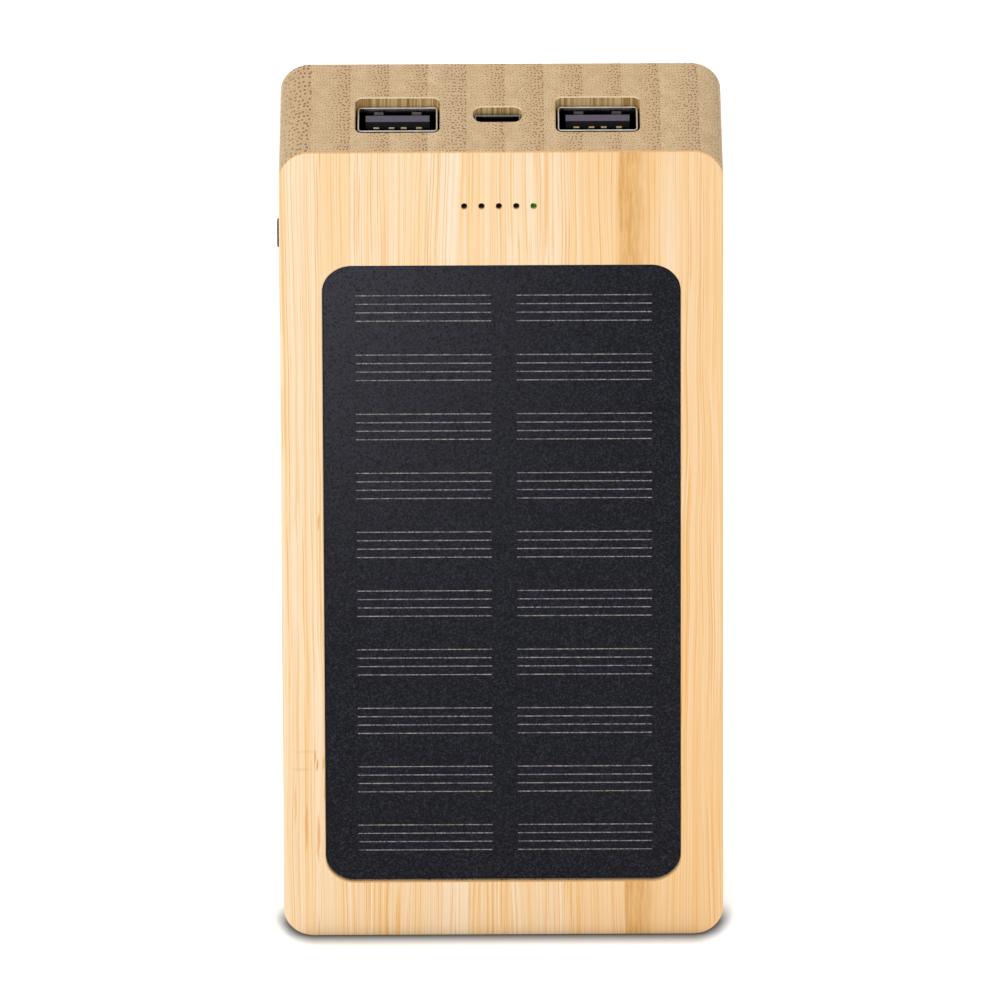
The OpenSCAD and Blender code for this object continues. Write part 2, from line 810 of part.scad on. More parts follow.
module protection_board() {
    color("#2c6b45") {
        box([-guard_w / 2, cells_mid - guard_t / 2, guard_bottom],
            [guard_w / 2, cells_mid + guard_t / 2, guard_bottom + guard_h]);
        for (x = guard_chip_x)
            translate([x, cells_mid + guard_t / 2, guard_bottom + 1])
                box([-guard_chip[0] / 2, 0, 0], [guard_chip[0] / 2, guard_chip[1], guard_chip[2]]);
    }
}

module battery_lead(side) {
    x = side * battery_lead_x;
    y0 = cells_mid + (guard_t + battery_lead_d) / 2;
    y1 = board_back + battery_lead_d / 2 + fit_gap;
    z1 = board_bottom - lead_bend + 0.2;
    lead([[x, y0, guard_bottom + 1], [x, y0, z1], [x, y1, z1], [x, y1, lead_end_z]], battery_lead_d);
}

module battery_lead_red() {
    color("#b32222") battery_lead(-1);
}

module battery_lead_black() {
    color("#1a1a1a") battery_lead(1);
}

module foam_pad_front() {
    color("#4b4b4e")
        plate(cell_w - 2 * pad_inset, cell_body_h - 2 * pad_inset, 1,
            bay_front, cells_front, cell_bottom + pad_inset);
}

module foam_pad_back() {
    color("#4b4b4e")
        plate(cell_w - 2 * pad_inset, cell_body_h - 2 * pad_inset, 1,
            cells_back, bay_back, cell_bottom + pad_inset);
}

module foam_pad_end() {
    half = bay_w / 2 - post_d - 1.2;
    color("#4b4b4e") box([-half, cells_front, bay_bottom], [half, cells_back, cell_bottom]);
}

// ---- Nodes ----

bamboo_body();
back_cover();
cover_screws();
panel_tape();
panel_board();
solar_cells();
silver_lines();
panel_film();
panel_lead_red();
panel_lead_black();
main_board();
board_screws();
solder_joints();
usb_shell(usb_x[0]);  // usb_shell_left
usb_shell(usb_x[1]);  // usb_shell_right
usb_tongue(usb_x[0]);  // usb_tongue_left
usb_tongue(usb_x[1]);  // usb_tongue_right
usb_contacts(usb_x[0]);  // usb_contacts_left
usb_contacts(usb_x[1]);  // usb_contacts_right
micro_usb_shell();
micro_usb_tongue();
micro_usb_contacts();
for (i = [0:lights - 1])
    led(i);
switch_body();
switch_plunger();
button_cap();
power_inductor();
inductor_coil();
boost_chip();
charge_chip();
port_chip();
capacitors();
resistors();
pouch_cell(-1);  // battery_cell_front
pouch_cell(1);  // battery_cell_back
cell_tape();
cell_tabs();
protection_board();
battery_lead_red();
battery_lead_black();
foam_pad_front();
foam_pad_back();
foam_pad_end();
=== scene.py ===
"""Looks of a slim bamboo power bank with a solar panel in its front.

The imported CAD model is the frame. This script replaces the pieces that show with finer meshes, gives every
piece a procedural finish, and sets up a pale studio with the camera. Sizes are in millimetres until they
reach a mesh.
"""

import sys

import logging
import math
from dataclasses import dataclass, field
from enum import Enum
from typing import Iterable, Sequence

import bmesh
import bpy
from mathutils import Matrix, Vector


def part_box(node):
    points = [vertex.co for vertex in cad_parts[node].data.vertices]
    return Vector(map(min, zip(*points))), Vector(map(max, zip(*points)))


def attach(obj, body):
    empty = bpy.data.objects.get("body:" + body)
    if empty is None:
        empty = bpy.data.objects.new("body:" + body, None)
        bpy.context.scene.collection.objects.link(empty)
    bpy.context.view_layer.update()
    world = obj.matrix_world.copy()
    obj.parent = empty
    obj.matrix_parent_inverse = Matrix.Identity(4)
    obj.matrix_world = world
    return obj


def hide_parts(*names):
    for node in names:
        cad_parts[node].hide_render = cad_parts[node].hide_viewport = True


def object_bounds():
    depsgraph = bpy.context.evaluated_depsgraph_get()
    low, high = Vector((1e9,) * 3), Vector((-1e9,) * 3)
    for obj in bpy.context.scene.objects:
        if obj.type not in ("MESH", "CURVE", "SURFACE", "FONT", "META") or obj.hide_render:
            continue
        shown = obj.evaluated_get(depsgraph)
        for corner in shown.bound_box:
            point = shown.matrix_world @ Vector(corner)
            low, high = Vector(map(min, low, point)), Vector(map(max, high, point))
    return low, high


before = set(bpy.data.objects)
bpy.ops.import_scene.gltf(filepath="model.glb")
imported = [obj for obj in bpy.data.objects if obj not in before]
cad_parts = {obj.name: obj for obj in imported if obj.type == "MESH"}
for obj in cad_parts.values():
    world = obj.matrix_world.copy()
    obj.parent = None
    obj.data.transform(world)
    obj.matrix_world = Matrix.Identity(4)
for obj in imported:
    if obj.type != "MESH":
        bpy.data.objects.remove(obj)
CAD_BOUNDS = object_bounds()

LOG = logging.getLogger("power_bank")
MM = 0.001
CASE_BODY = "case"
BUTTON_BODY = "button"
SMOOTH_ANGLE = math.radians(10.0)
# A round outline is a square whose corners are rounded to just short of half its side.
ROUND = 0.9999
# How far a cutter reaches past what it cuts.
BEYOND = 1.0

Colour = tuple[float, float, float]


def shade(red: int, green: int, blue: int) -> Colour:
    """Turns a colour of 0 to 255 a channel into the linear values that shaders use.

    Args:
        red: Red channel.
        green: Green channel.
        blue: Blue channel.

    Returns:
        The linear colour.
    """
    def linear(channel: int) -> float:
        """Turns one channel into its linear value."""
        part = channel / 255.0
        return part / 12.92 if part <= 0.04045 else ((part + 0.055) / 1.055) ** 2.4

    return linear(red), linear(green), linear(blue)


def span(node: str) -> tuple[Vector, Vector]:
    """Gives the low and high corners of a CAD node in millimetres.

    Args:
        node: Name of the CAD node.

    Returns:
        The low corner and the high corner.
    """
    low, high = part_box(node)
    return low / MM, high / MM


# ---------------------------------------------------------------- shader graphs


class Graph:
    """A node tree with short calls for the nodes that the finishes use."""

    def __init__(self, tree: bpy.types.NodeTree) -> None:
        """Keeps the tree that nodes are added to."""
        self.tree = tree

    def node(self, kind: str, **settings: object) -> bpy.types.Node:
        """Adds a node and sets its properties.

        Args:
            kind: Type name of the node, without the ShaderNode prefix.
            **settings: Properties of the node by name.

        Returns:
            The new node.
        """
        made = self.tree.nodes.new(kind if kind.startswith("Node") else "ShaderNode" + kind)
        for name, value in settings.items():
            setattr(made, name, value)
        return made

    def feed(self, socket: bpy.types.NodeSocket, value: object) -> None:
        """Links a socket to another, or sets its plain value.

        Args:
            socket: The input socket.
            value: An output socket, a number, a colour or a vector.
        """
        if isinstance(value, bpy.types.NodeSocket):
            self.tree.links.new(value, socket)
        elif socket.type == "RGBA" and len(value) == 3:
            socket.default_value = (*value, 1.0)
        else:
            socket.default_value = value

    def math(self, operation: str, first: object, second: object = 0.0, third: object = 0.0,
             clamp: bool = False) -> bpy.types.NodeSocket:
        """Adds a Math node.

        Args:
            operation: Name of the operation.
            first: First operand.
            second: Second operand.
            third: Third operand, for operations that have one.
            clamp: Whether the result is kept within 0 and 1.

        Returns:
            The result's socket.
        """
        made = self.node("Math", operation=operation, use_clamp=clamp)
        for socket, value in zip(made.inputs, (first, second, third)):
            self.feed(socket, value)
        return made.outputs[0]

    def times(self, first: object, second: object) -> bpy.types.NodeSocket:
        """Multiplies two numbers."""
        return self.math("MULTIPLY", first, second)

    def plus(self, first: object, second: object) -> bpy.types.NodeSocket:
        """Adds two numbers."""
        return self.math("ADD", first, second)

    def minus(self, first: object, second: object) -> bpy.types.NodeSocket:
        """Takes the second number from the first."""
        return self.math("SUBTRACT", first, second)

    def unsigned(self, value: object) -> bpy.types.NodeSocket:
        """Drops a number's sign."""
        return self.math("ABSOLUTE", value)

    def vector(self, operation: str, first: object, second: object) -> bpy.types.NodeSocket:
        """Adds a Vector Math node with two vector operands.

        Args:
            operation: Name of the operation.
            first: First operand, a value or a socket.
            second: Second operand, a value or a socket.

        Returns:
            The result's socket.
        """
        made = self.node("VectorMath", operation=operation)
        self.feed(made.inputs[0], first)
        self.feed(made.inputs[1], second)
        return made.outputs[0]

    def scaled(self, vector: object, scale: float) -> bpy.types.NodeSocket:
        """Multiplies a vector by one number.

        Args:
            vector: The vector.
            scale: The number to multiply it by.

        Returns:
            The result's socket.
        """
        made = self.node("VectorMath", operation="SCALE")
        self.feed(made.inputs[0], vector)
        self.feed(made.inputs["Scale"], scale)
        return made.outputs[0]

    def split(self, vector: object) -> tuple[bpy.types.NodeSocket, ...]:
        """Splits a vector into its X, Y and Z sockets.

        Args:
            vector: The vector.

        Returns:
            The sockets of its three numbers.
        """
        made = self.node("SeparateXYZ")
        self.feed(made.inputs[0], vector)
        return tuple(made.outputs)

    def join(self, x: object, y: object, z: object) -> bpy.types.NodeSocket:
        """Joins three numbers into a vector.

        Args:
            x: First number.
            y: Second number.
            z: Third number.

        Returns:
            The vector's socket.
        """
        made = self.node("CombineXYZ")
        for socket, value in zip(made.inputs, (x, y, z)):
            self.feed(socket, value)
        return made.outputs[0]

    def ramp(self, value: object, low: object, high: object, out_low: float = 0.0,
             out_high: float = 1.0) -> bpy.types.NodeSocket:
        """Maps a value smoothly from one range to another.

        Args:
            value: The value to map.
            low: Where the output starts to leave out_low.
            high: Where the output reaches out_high.
            out_low: Output at and beyond low.
            out_high: Output at and beyond high.

        Returns:
            The mapped value's socket.
        """
        made = self.node("MapRange", interpolation_type="SMOOTHSTEP")
        for socket, given in zip(made.inputs, (value, low, high, out_low, out_high)):
            self.feed(socket, given)
        return made.outputs[0]

    def mix(self, factor: object, first: object, second: object,
            blend: str = "MIX") -> bpy.types.NodeSocket:
        """Mixes two colours.

        Args:
            factor: Share of the second colour.
            first: First colour.
            second: Second colour.
            blend: Name of the blend.

        Returns:
            The mixed colour's socket.
        """
        made = self.node("Mix", data_type="RGBA", blend_type=blend)
        self.feed(made.inputs["Factor"], factor)
        colours = [s for s in made.inputs if s.type == "RGBA"]
        self.feed(colours[0], first)
        self.feed(colours[1], second)
        return next(s for s in made.outputs if s.type == "RGBA")

    def noise(self, vector: object, scale: float = 1.0, detail: float = 2.0,
              roughness: float = 0.5) -> bpy.types.NodeSocket:
        """Adds a Noise texture.

        Args:
            vector: Where the texture is read.
            scale: Scale of the noise.
            detail: Number of finer layers.
            roughness: Strength of the finer layers.

        Returns:
            The value's socket.
        """
        made = self.node("TexNoise")
        self.feed(made.inputs["Vector"], vector)
        self.feed(made.inputs["Scale"], scale)
        self.feed(made.inputs["Detail"], detail)
        self.feed(made.inputs["Roughness"], roughness)
        return made.outputs[0]

    def cells(self, vector: object, scale: float, randomness: float) -> bpy.types.NodeSocket:
        """Adds a flat Voronoi texture that measures the distance to the nearest point.

        Args:
            vector: Where the texture is read.
            scale: Scale of the cells.
            randomness: How far the points leave their grid.

        Returns:
            The distance's socket.
        """
        made = self.node("TexVoronoi", voronoi_dimensions="2D", feature="F1")
        self.feed(made.inputs["Vector"], vector)
        self.feed(made.inputs["Scale"], scale)
        self.feed(made.inputs["Randomness"], randomness)
        return made.outputs["Distance"]

    def within(self, value: object, low: float, high: float, soft: float) -> bpy.types.NodeSocket:
        """Gives 1 where a value lies between two limits and 0 outside, with soft edges.

        Args:
            value: The value.
            low: Lower limit.
            high: Upper limit.
            soft: Half width of each soft edge.

        Returns:
            The mask's socket.
        """
        rise = self.ramp(value, low - soft, low + soft)
        fall = self.ramp(value, high - soft, high + soft, 1.0, 0.0)
        return self.times(rise, fall)


class EffectGroup:
    """A shader node group that several finishes share, built once."""

    name = "effect"
    inputs: Sequence[tuple[str, str, object]] = ()
    outputs: Sequence[tuple[str, str]] = ()

    def build(self, graph: Graph, given: bpy.types.Node, out: bpy.types.Node) -> None:
        """Adds the group's nodes between its input and output nodes."""
        raise NotImplementedError

    def tree(self) -> bpy.types.NodeTree:
        """Finds the group's node tree, or builds it the first time.

        Returns:
            The node tree.
        """
        found = bpy.data.node_groups.get(self.name)
        if found:
            return found
        made = bpy.data.node_groups.new(self.name, "ShaderNodeTree")
        kinds = {"float": "NodeSocketFloat", "colour": "NodeSocketColor", "vector": "NodeSocketVector"}
        for label, kind, default in self.inputs:
            socket = made.interface.new_socket(name=label, in_out="INPUT", socket_type=kinds[kind])
            if default is not None:
                socket.default_value = (*default, 1.0) if kind == "colour" else default
        for label, kind in self.outputs:
            made.interface.new_socket(name=label, in_out="OUTPUT", socket_type=kinds[kind])
        graph = Graph(made)
        self.build(graph, graph.node("NodeGroupInput"), graph.node("NodeGroupOutput"))
        return made

    def place(self, graph: Graph, **values: object) -> bpy.types.Node:
        """Places the group in a material.

        Args:
            graph: The material's graph.
            **values: Inputs by name, with underscores for spaces.

        Returns:
            The group node.
        """
        made = graph.node("Group", node_tree=self.tree())
        for label, value in values.items():
            graph.feed(made.inputs[label.replace("_", " ")], value)
        return made


class FineGrain(EffectGroup):
    """Fine uneven grain of moulded, cast or sprayed surfaces."""

    name = "fine_grain"
    inputs = (
        ("Position", "vector", None),
        ("Grain Size", "float", 0.3),
        ("Colour", "colour", (0.5, 0.5, 0.5)),
        ("Colour Change", "float", 0.1),
        ("Roughness", "float", 0.5),
        ("Roughness Change", "float", 0.1),
    )
    outputs = (("Colour", "colour"), ("Roughness", "float"), ("Height", "float"))

    def build(self, graph: Graph, given: bpy.types.Node, out: bpy.types.Node) -> None:
        """Adds fine grain over a slow drift of tone.

        Args:
            graph: The tree to add nodes to.
            given: The group's input node.
            out: The group's output node.
        """
        place = graph.scaled(given.outputs["Position"], 1.0 / MM)
        rate = graph.math("DIVIDE", 1.0, given.outputs["Grain Size"])
        fine = graph.noise(place, rate, 3.0, 0.6)
        slow = graph.noise(place, 0.12, 2.0)
        both = graph.plus(graph.times(fine, 0.65), graph.times(slow, 0.35))
        swing = graph.times(graph.minus(both, 0.5), 2.0)
        gain = graph.math("MULTIPLY_ADD", swing, given.outputs["Colour Change"], 1.0)
        toned = graph.mix(1.0, given.outputs["Colour"], graph.join(gain, gain, gain), "MULTIPLY")
        rough = graph.math("MULTIPLY_ADD", swing, given.outputs["Roughness Change"],
                           given.outputs["Roughness"], clamp=True)
        graph.feed(out.inputs["Colour"], toned)
        graph.feed(out.inputs["Roughness"], rough)
        graph.feed(out.inputs["Height"], fine)


class DrawnLines(EffectGroup):
    """Fine lines that drawing or brushing leaves on metal, along one axis."""

    name = "drawn_lines"
    inputs = (
        ("Position", "vector", None),
        ("Along", "vector", (0.02, 1.0, 1.0)),
        ("Line Width", "float", 0.08),
        ("Colour", "colour", (0.7, 0.7, 0.7)),
        ("Roughness", "float", 0.3),
    )
    outputs = (("Colour", "colour"), ("Roughness", "float"), ("Height", "float"))

    def build(self, graph: Graph, given: bpy.types.Node, out: bpy.types.Node) -> None:
        """Adds stretched noise for the lines and smudges over them.

        Args:
            graph: The tree to add nodes to.
            given: The group's input node.
            out: The group's output node.
        """
        place = graph.scaled(given.outputs["Position"], 1.0 / MM)
        drawn = graph.vector("MULTIPLY", place, given.outputs["Along"])
        lines = graph.noise(drawn, graph.math("DIVIDE", 1.0, given.outputs["Line Width"]), 2.0)
        smudge = graph.noise(place, 0.5, 3.0, 0.6)
        gain = graph.ramp(lines, 0.3, 0.7, 0.86, 1.08)
        toned = graph.mix(1.0, given.outputs["Colour"], graph.join(gain, gain, gain), "MULTIPLY")
        swing = graph.plus(graph.minus(lines, 0.5), graph.minus(smudge, 0.5))
        rough = graph.math("MULTIPLY_ADD", swing, 0.35, given.outputs["Roughness"], clamp=True)
        graph.feed(out.inputs["Colour"], toned)
        graph.feed(out.inputs["Roughness"], rough)
        graph.feed(out.inputs["Height"], lines)


@dataclass(frozen=True)
class Streak:
    """A dark fleck in the bamboo, as an upright ellipse on the front: place, half sizes and strength."""

    x: float
    z: float
    half_width: float
    half_length: float
    strength: float


@dataclass(frozen=True)
class BambooPattern:
    """Sizes of the laminated bamboo, in millimetres."""

    strip: float = 6.34
    first_joint: float = 0.73
    bundle: float = 0.58
    bundle_stretch: float = 0.8
    coarse_strip: int = -6
    coarse_scale: float = 0.74
    dark_from: float = 19.7
    dark_to: float = 22.3
    streaks: tuple[Streak, ...] = (
        Streak(-31.0, 33.8, 0.20, 1.5, 0.8),
        Streak(-30.6, 32.2, 0.22, 1.3, 0.9),
        Streak(-32.4, 34.7, 2.6, 0.35, 0.16),
        Streak(-33.2, 31.4, 1.9, 0.40, 0.22),
        Streak(-29.6, 32.5, 0.22, 1.6, 0.7),
        Streak(-28.5, 35.0, 0.42, 6.2, 1.0),
        Streak(-27.2, 26.0, 0.42, 5.0, 0.9),
        Streak(-28.2, 22.0, 0.25, 6.5, 0.6),
        Streak(-29.3, 27.8, 0.30, 3.6, 0.55),
        Streak(-32.4, 20.5, 0.30, 5.0, 0.6),
        Streak(-30.4, 18.6, 0.30, 5.0, 0.7),
        Streak(-34.2, 24.5, 0.25, 4.2, 0.45),
        Streak(-30.1, 77.6, 0.22, 1.9, 0.7),
    )


PATTERN = BambooPattern()


class Bamboo(EffectGroup):
    """Laminated bamboo: bundles as dots on the end grain and as lines along the grain, in upright strips."""

    name = "laminated_bamboo"
    inputs = (
        ("Position", "vector", None),
        ("Facing", "vector", None),
        ("Seed", "float", 0.0),
    )
    outputs = (("Colour", "colour"), ("Roughness", "float"), ("Height", "float"))

    def build(self, graph: Graph, given: bpy.types.Node, out: bpy.types.Node) -> None:
        """Adds the strips, the bundles that run up them, and the colours of both grains.

        Args:
            graph: The tree to add nodes to.
            given: The group's input node.
            out: The group's output node.
        """
        place = graph.scaled(given.outputs["Position"], 1.0 / MM)
        x, y, z = graph.split(place)
        seed = given.outputs["Seed"]
        strip = graph.math("DIVIDE", graph.minus(x, PATTERN.first_joint), PATTERN.strip)
        number = graph.math("FLOOR", strip)
        across = graph.math("FRACT", strip)
        chance = graph.node("TexWhiteNoise", noise_dimensions="1D")
        graph.feed(chance.inputs["W"], graph.plus(number, seed))
        lean, drift, tone = graph.split(chance.outputs["Color"])

        # Bundles lean a little in each strip and wander slowly, so their lines taper in and out.
        wander = graph.node("TexNoise")
        graph.feed(wander.inputs["Vector"], graph.join(
            graph.times(x, 0.03), graph.times(y, 0.03), graph.times(z, 0.006)))
        graph.feed(wander.inputs["Detail"], 1.0)
        wander_x, wander_y, _ = graph.split(wander.outputs["Color"])
        lean_x = graph.times(graph.minus(lean, 0.42), graph.times(z, 0.026))
        lean_y = graph.times(graph.minus(drift, 0.35), graph.times(z, 0.005))
        bundle_x = graph.plus(graph.plus(x, lean_x), graph.times(wander_x, 1.6))
        bundle_y = graph.plus(graph.plus(y, lean_y), graph.times(wander_y, 0.7))
        shifted = graph.math("MULTIPLY_ADD", number, 3.7, bundle_y)
        coarse = graph.math("LESS_THAN", number, PATTERN.coarse_strip + 0.5)
        size = graph.math("MULTIPLY_ADD", coarse, PATTERN.coarse_scale - 1.0, 1.0)
        flat_y = graph.times(graph.times(shifted, size), PATTERN.bundle_stretch)
        flat = graph.join(graph.times(bundle_x, size), flat_y, 0.0)

        # The bundles crowd together and grow darker towards the skin side of each strip.
        density = graph.ramp(across, graph.math("MULTIPLY_ADD", tone, 0.5, -0.1), 1.0)
        rate = 1.0 / PATTERN.bundle
        big = graph.cells(flat, rate, 0.62)
        shade_side = graph.cells(graph.vector("ADD", flat, (0.0, 0.13, 0.0)), rate, 0.62)
        radius = graph.math("MULTIPLY_ADD", density, 0.08, 0.22)
        dots = graph.ramp(big, graph.minus(radius, 0.06), graph.plus(radius, 0.06), 1.0, 0.0)
        pith = graph.ramp(shade_side, graph.minus(radius, 0.14), radius, 1.0, 0.0)
        half_moon = graph.times(dots, graph.math("MULTIPLY_ADD", pith, -0.55, 1.0))
        halo = graph.times(graph.ramp(big, radius, graph.plus(radius, 0.1)), graph.ramp(
            big, graph.plus(radius, 0.12), graph.plus(radius, 0.24), 1.0, 0.0))

        end = self.end_grain(graph, place, half_moon, halo, density, tone)
        along = self.long_grain(graph, (x, y, z), (bundle_x, shifted), dots, (across, tone, number))
        _, front, up = graph.split(given.outputs["Facing"])
        turned = graph.ramp(graph.unsigned(up), 0.12, 0.4)
        hollow = self.hollow(graph, x, y, z)
        colour = graph.mix(hollow, along, self.hole_wall(graph, bundle_x, shifted, z))
        colour = graph.mix(turned, colour, end)
        # Upturned rounded edges get a thin tint: orange on the case's outer edges, and pale on the socket
        # holes' rims, a painted highlight.
        rim = graph.times(graph.ramp(up, 0.2, 0.5),
                         graph.ramp(graph.unsigned(front), 0.2, 0.5))
        edge_tint_and_highlight = graph.mix(hollow, shade(236, 176, 108), shade(244, 222, 184))
        colour = graph.mix(graph.times(rim, 0.8), colour, edge_tint_and_highlight)
        # Painted shade darkens the walls of the holes over the charge lights.
        graph.feed(out.inputs["Colour"], graph.mix(self.light_hole_shade(graph, x, y, z), colour, shade(58, 32, 12)))
        matt = graph.math("MULTIPLY_ADD", turned, 0.2, 0.46)
        graph.feed(out.inputs["Roughness"], graph.math("MULTIPLY_ADD", dots, 0.08, matt))
        pits = graph.times(half_moon, graph.math("MULTIPLY_ADD", turned, -0.8, -0.1))
        graph.feed(out.inputs["Height"], graph.math("MULTIPLY_ADD", graph.noise(place, 5.0, 2.0), 0.3, pits))

    def hollow(self, graph: Graph, x: object, y: object, z: object) -> bpy.types.NodeSocket:
        """Gives the mask of the socket holes' walls, which lie inside the upper end.

        Args:
            graph: The tree to add nodes to.
            x: X in millimetres.
            y: Y in millimetres.
            z: Z in millimetres.

        Returns:
            The mask's socket.
        """
        low, high = span("bamboo_body")
        inner = graph.times(graph.within(y, low.y + 1.0, high.y - 4.0, 0.2),
                           graph.within(x, low.x + 6.0, high.x - 6.0, 0.2))
        return graph.times(inner, graph.ramp(z, high.z - 6.0, high.z - 5.0))

    def hole_wall(self, graph: Graph, x: object, y: object, z: object) -> bpy.types.NodeSocket:
        """Colours the socket holes' walls: golden and brown streaks, darkened inwards by painted shade.

        Args:
            graph: The tree to add nodes to.
            x: X in millimetres.
            y: Y in millimetres.
            z: Z in millimetres.

        Returns:
            The colour's socket.
        """
        streaks = graph.noise(graph.join(graph.times(x, 1.9), graph.times(y, 1.9), 0.0),
                              1.0, 2.0, 0.7)
        golden = graph.mix(graph.ramp(streaks, 0.38, 0.62), shade(184, 138, 74), shade(246, 216, 158))
        _, high = span("bamboo_body")
        # Painted shade: the walls turn dark brown deeper in the holes.
        depth = graph.ramp(z, high.z - 0.6, high.z - 3.0, 0.0, 0.7)
        return graph.mix(depth, golden, shade(84, 56, 22))

    def light_hole_shade(self, graph: Graph, x: object, y: object, z: object) -> bpy.types.NodeSocket:
        """Gives the mask of the painted shade that darkens the walls of the holes over the charge lights.

        Args:
            graph: The tree to add nodes to.
            x: X in millimetres.
            y: Y in millimetres.
            z: Z in millimetres.

        Returns:
            The mask's socket.
        """
        low, _ = span("bamboo_body")
        first, _ = span("led_1")
        _, last = span("led_5")
        inside = graph.within(y, low.y + 0.23, low.y + 3.8, 0.17)
        row = graph.times(graph.within(x, first.x - 0.6, last.x + 0.6, 0.05),
                         graph.within(z, (first.z + last.z) / 2 - 0.8, (first.z + last.z) / 2 + 0.8, 0.05))
        # The lit light's hole gets a little less of the painted shade.
        lit = graph.ramp(x, last.x - 1.6, last.x - 1.4, 0.95, 0.82)
        return graph.times(graph.times(inside, row), lit)

    def end_grain(self, graph: Graph, place: object, half_moon: object, halo: object, density: object,
                  tone: object) -> bpy.types.NodeSocket:
        """Colours the end grain: tan ground, brown bundles in pale rings, and a darker skin side.

        Args:
            graph: The group's graph.
            place: Position in millimetres.
            half_moon: Mask of the bundles' dark sides.
            halo: Mask of the pale rings round them.
            density: How close a point is to its strip's skin side.
            tone: A chance number of the strip.

        Returns:
            The colour's socket.
        """
        mottle = graph.noise(place, 0.5, 3.0, 0.6)
        ground = graph.mix(graph.ramp(mottle, 0.3, 0.7), shade(192, 165, 127), shade(210, 184, 146))
        ground = graph.mix(graph.times(density, 0.55), ground, shade(182, 148, 112))
        ground = graph.mix(graph.times(tone, 0.3), ground, shade(190, 156, 114))
        grit = graph.noise(place, 3.2, 2.0, 0.6)
        ground = graph.mix(graph.ramp(grit, 0.5, 0.75, 0.0, 0.3), ground, shade(160, 124, 88))
        ground = graph.mix(graph.times(halo, 0.5), ground, shade(224, 198, 158))
        deep = graph.math("MULTIPLY_ADD", density, 0.32, 0.42)
        return graph.mix(graph.times(half_moon, deep), ground, shade(108, 70, 44))

    def long_grain(self, graph: Graph, point: Sequence[object], bundle: Sequence[object], dots: object,
                   strip: Sequence[object]) -> bpy.types.NodeSocket:
        """Colours the faces along the grain: cream to honey strips with long fine orange and pale threads.

        Args:
            graph: The group's graph.
            point: X, Y and Z in millimetres.
            bundle: X and Y of the wandering bundles.
            dots: Mask of the bundles.
            strip: Place across the strip, its chance number and its number.

        Returns:
            The colour's socket.
        """
        x, y, z = point
        across, tone, number = strip
        own = graph.times(number, 7.3)
        slow = graph.join(graph.times(bundle[0], 0.5), graph.times(bundle[1], 0.4),
                          graph.math("MULTIPLY_ADD", z, 0.004, own))
        fine = graph.join(graph.times(bundle[0], 2.6), graph.times(bundle[1], 1.6),
                          graph.math("MULTIPLY_ADD", z, 0.0045, own))
        bands = graph.noise(slow, 1.0, 2.0, 0.6)
        threads = graph.noise(fine, 1.0, 3.0, 0.72)
        hairs = graph.noise(graph.vector("MULTIPLY", fine, (1.9, 1.9, 1.6)), 1.0, 1.0, 0.5)
        honey = graph.ramp(graph.math("MULTIPLY_ADD", tone, 0.16, bands), 0.42, 0.74)
        ground = graph.mix(honey, shade(247, 225, 194), shade(245, 210, 160))
        # Painted shade: the long-grain faces turn deeper honey towards the lower end and towards +X.
        honey_shade_gradient = graph.plus(graph.ramp(z, 120.0, 0.0, 0.0, 0.25), graph.ramp(x, -10.0, 36.0, 0.0, 0.55))
        ground = graph.mix(honey_shade_gradient, ground, shade(240, 192, 130))
        ground = graph.mix(graph.ramp(threads, 0.55, 0.64, 0.0, 0.75), ground, shade(240, 190, 122))
        ground = graph.mix(graph.ramp(threads, 0.34, 0.45, 0.35, 0.0), ground, shade(250, 234, 212))
        ground = graph.mix(graph.ramp(hairs, 0.60, 0.66, 0.0, 0.8), ground, shade(234, 174, 98))
        ground = graph.mix(graph.ramp(hairs, 0.34, 0.40, 0.3, 0.0), ground, shade(252, 238, 216))
        ground = graph.mix(graph.times(dots, 0.06), ground, shade(228, 168, 98))
        joint = graph.times(graph.within(across, 0.985, 1.02, 0.008), 0.3)
        ground = graph.mix(joint, ground, shade(222, 166, 104))

        # One strip is cut next to the culm's skin, and is darker and mottled on that side.
        edge = graph.math("MULTIPLY_ADD", graph.minus(z, 73.0), 0.0065, x)
        skin = graph.times(graph.ramp(edge, PATTERN.dark_from - 0.25, PATTERN.dark_from + 0.1),
                          graph.ramp(edge, PATTERN.dark_to - 0.6, PATTERN.dark_to + 3.4, 1.0, 0.0))
        mottle = graph.noise(graph.join(graph.times(x, 2.6), y, graph.times(z, 0.24)),
                             1.0, 3.0, 0.6)
        caramel = graph.mix(graph.ramp(mottle, 0.38, 0.66), shade(228, 180, 112), shade(212, 154, 84))
        ground = graph.mix(graph.times(skin, 0.85), ground, caramel)
        return graph.mix(self.flecks(graph, x, y, z), ground, shade(222, 150, 66))

    def flecks(self, graph: Graph, x: object, y: object, z: object) -> bpy.types.NodeSocket:
        """Gives the mask of the dark flecks round a culm joint, which only the front wall has.

        Args:
            graph: The tree to add nodes to.
            x: X in millimetres.
            y: Y in millimetres.
            z: Z in millimetres.

        Returns:
            The mask's socket.
        """
        bend = graph.times(graph.minus(graph.noise(
            graph.join(0.0, 0.0, graph.times(z, 0.22)), 1.0, 1.0), 0.5), 0.9)
        near = graph.plus(x, bend)
        total: object = 0.0
        for streak in PATTERN.streaks:
            wide = graph.math("DIVIDE", graph.minus(near, streak.x), streak.half_width)
            tall = graph.math("DIVIDE", graph.minus(z, streak.z), streak.half_length)
            reach = graph.plus(graph.times(wide, wide), graph.times(tall, tall))
            mask = graph.ramp(reach, 0.1, 1.2, streak.strength, 0.0)
            total = graph.math("MAXIMUM", total, mask)
        return graph.times(total, graph.ramp(y, -6.0, -3.0, 0.9, 0.0))


# ---------------------------------------------------------------- finishes


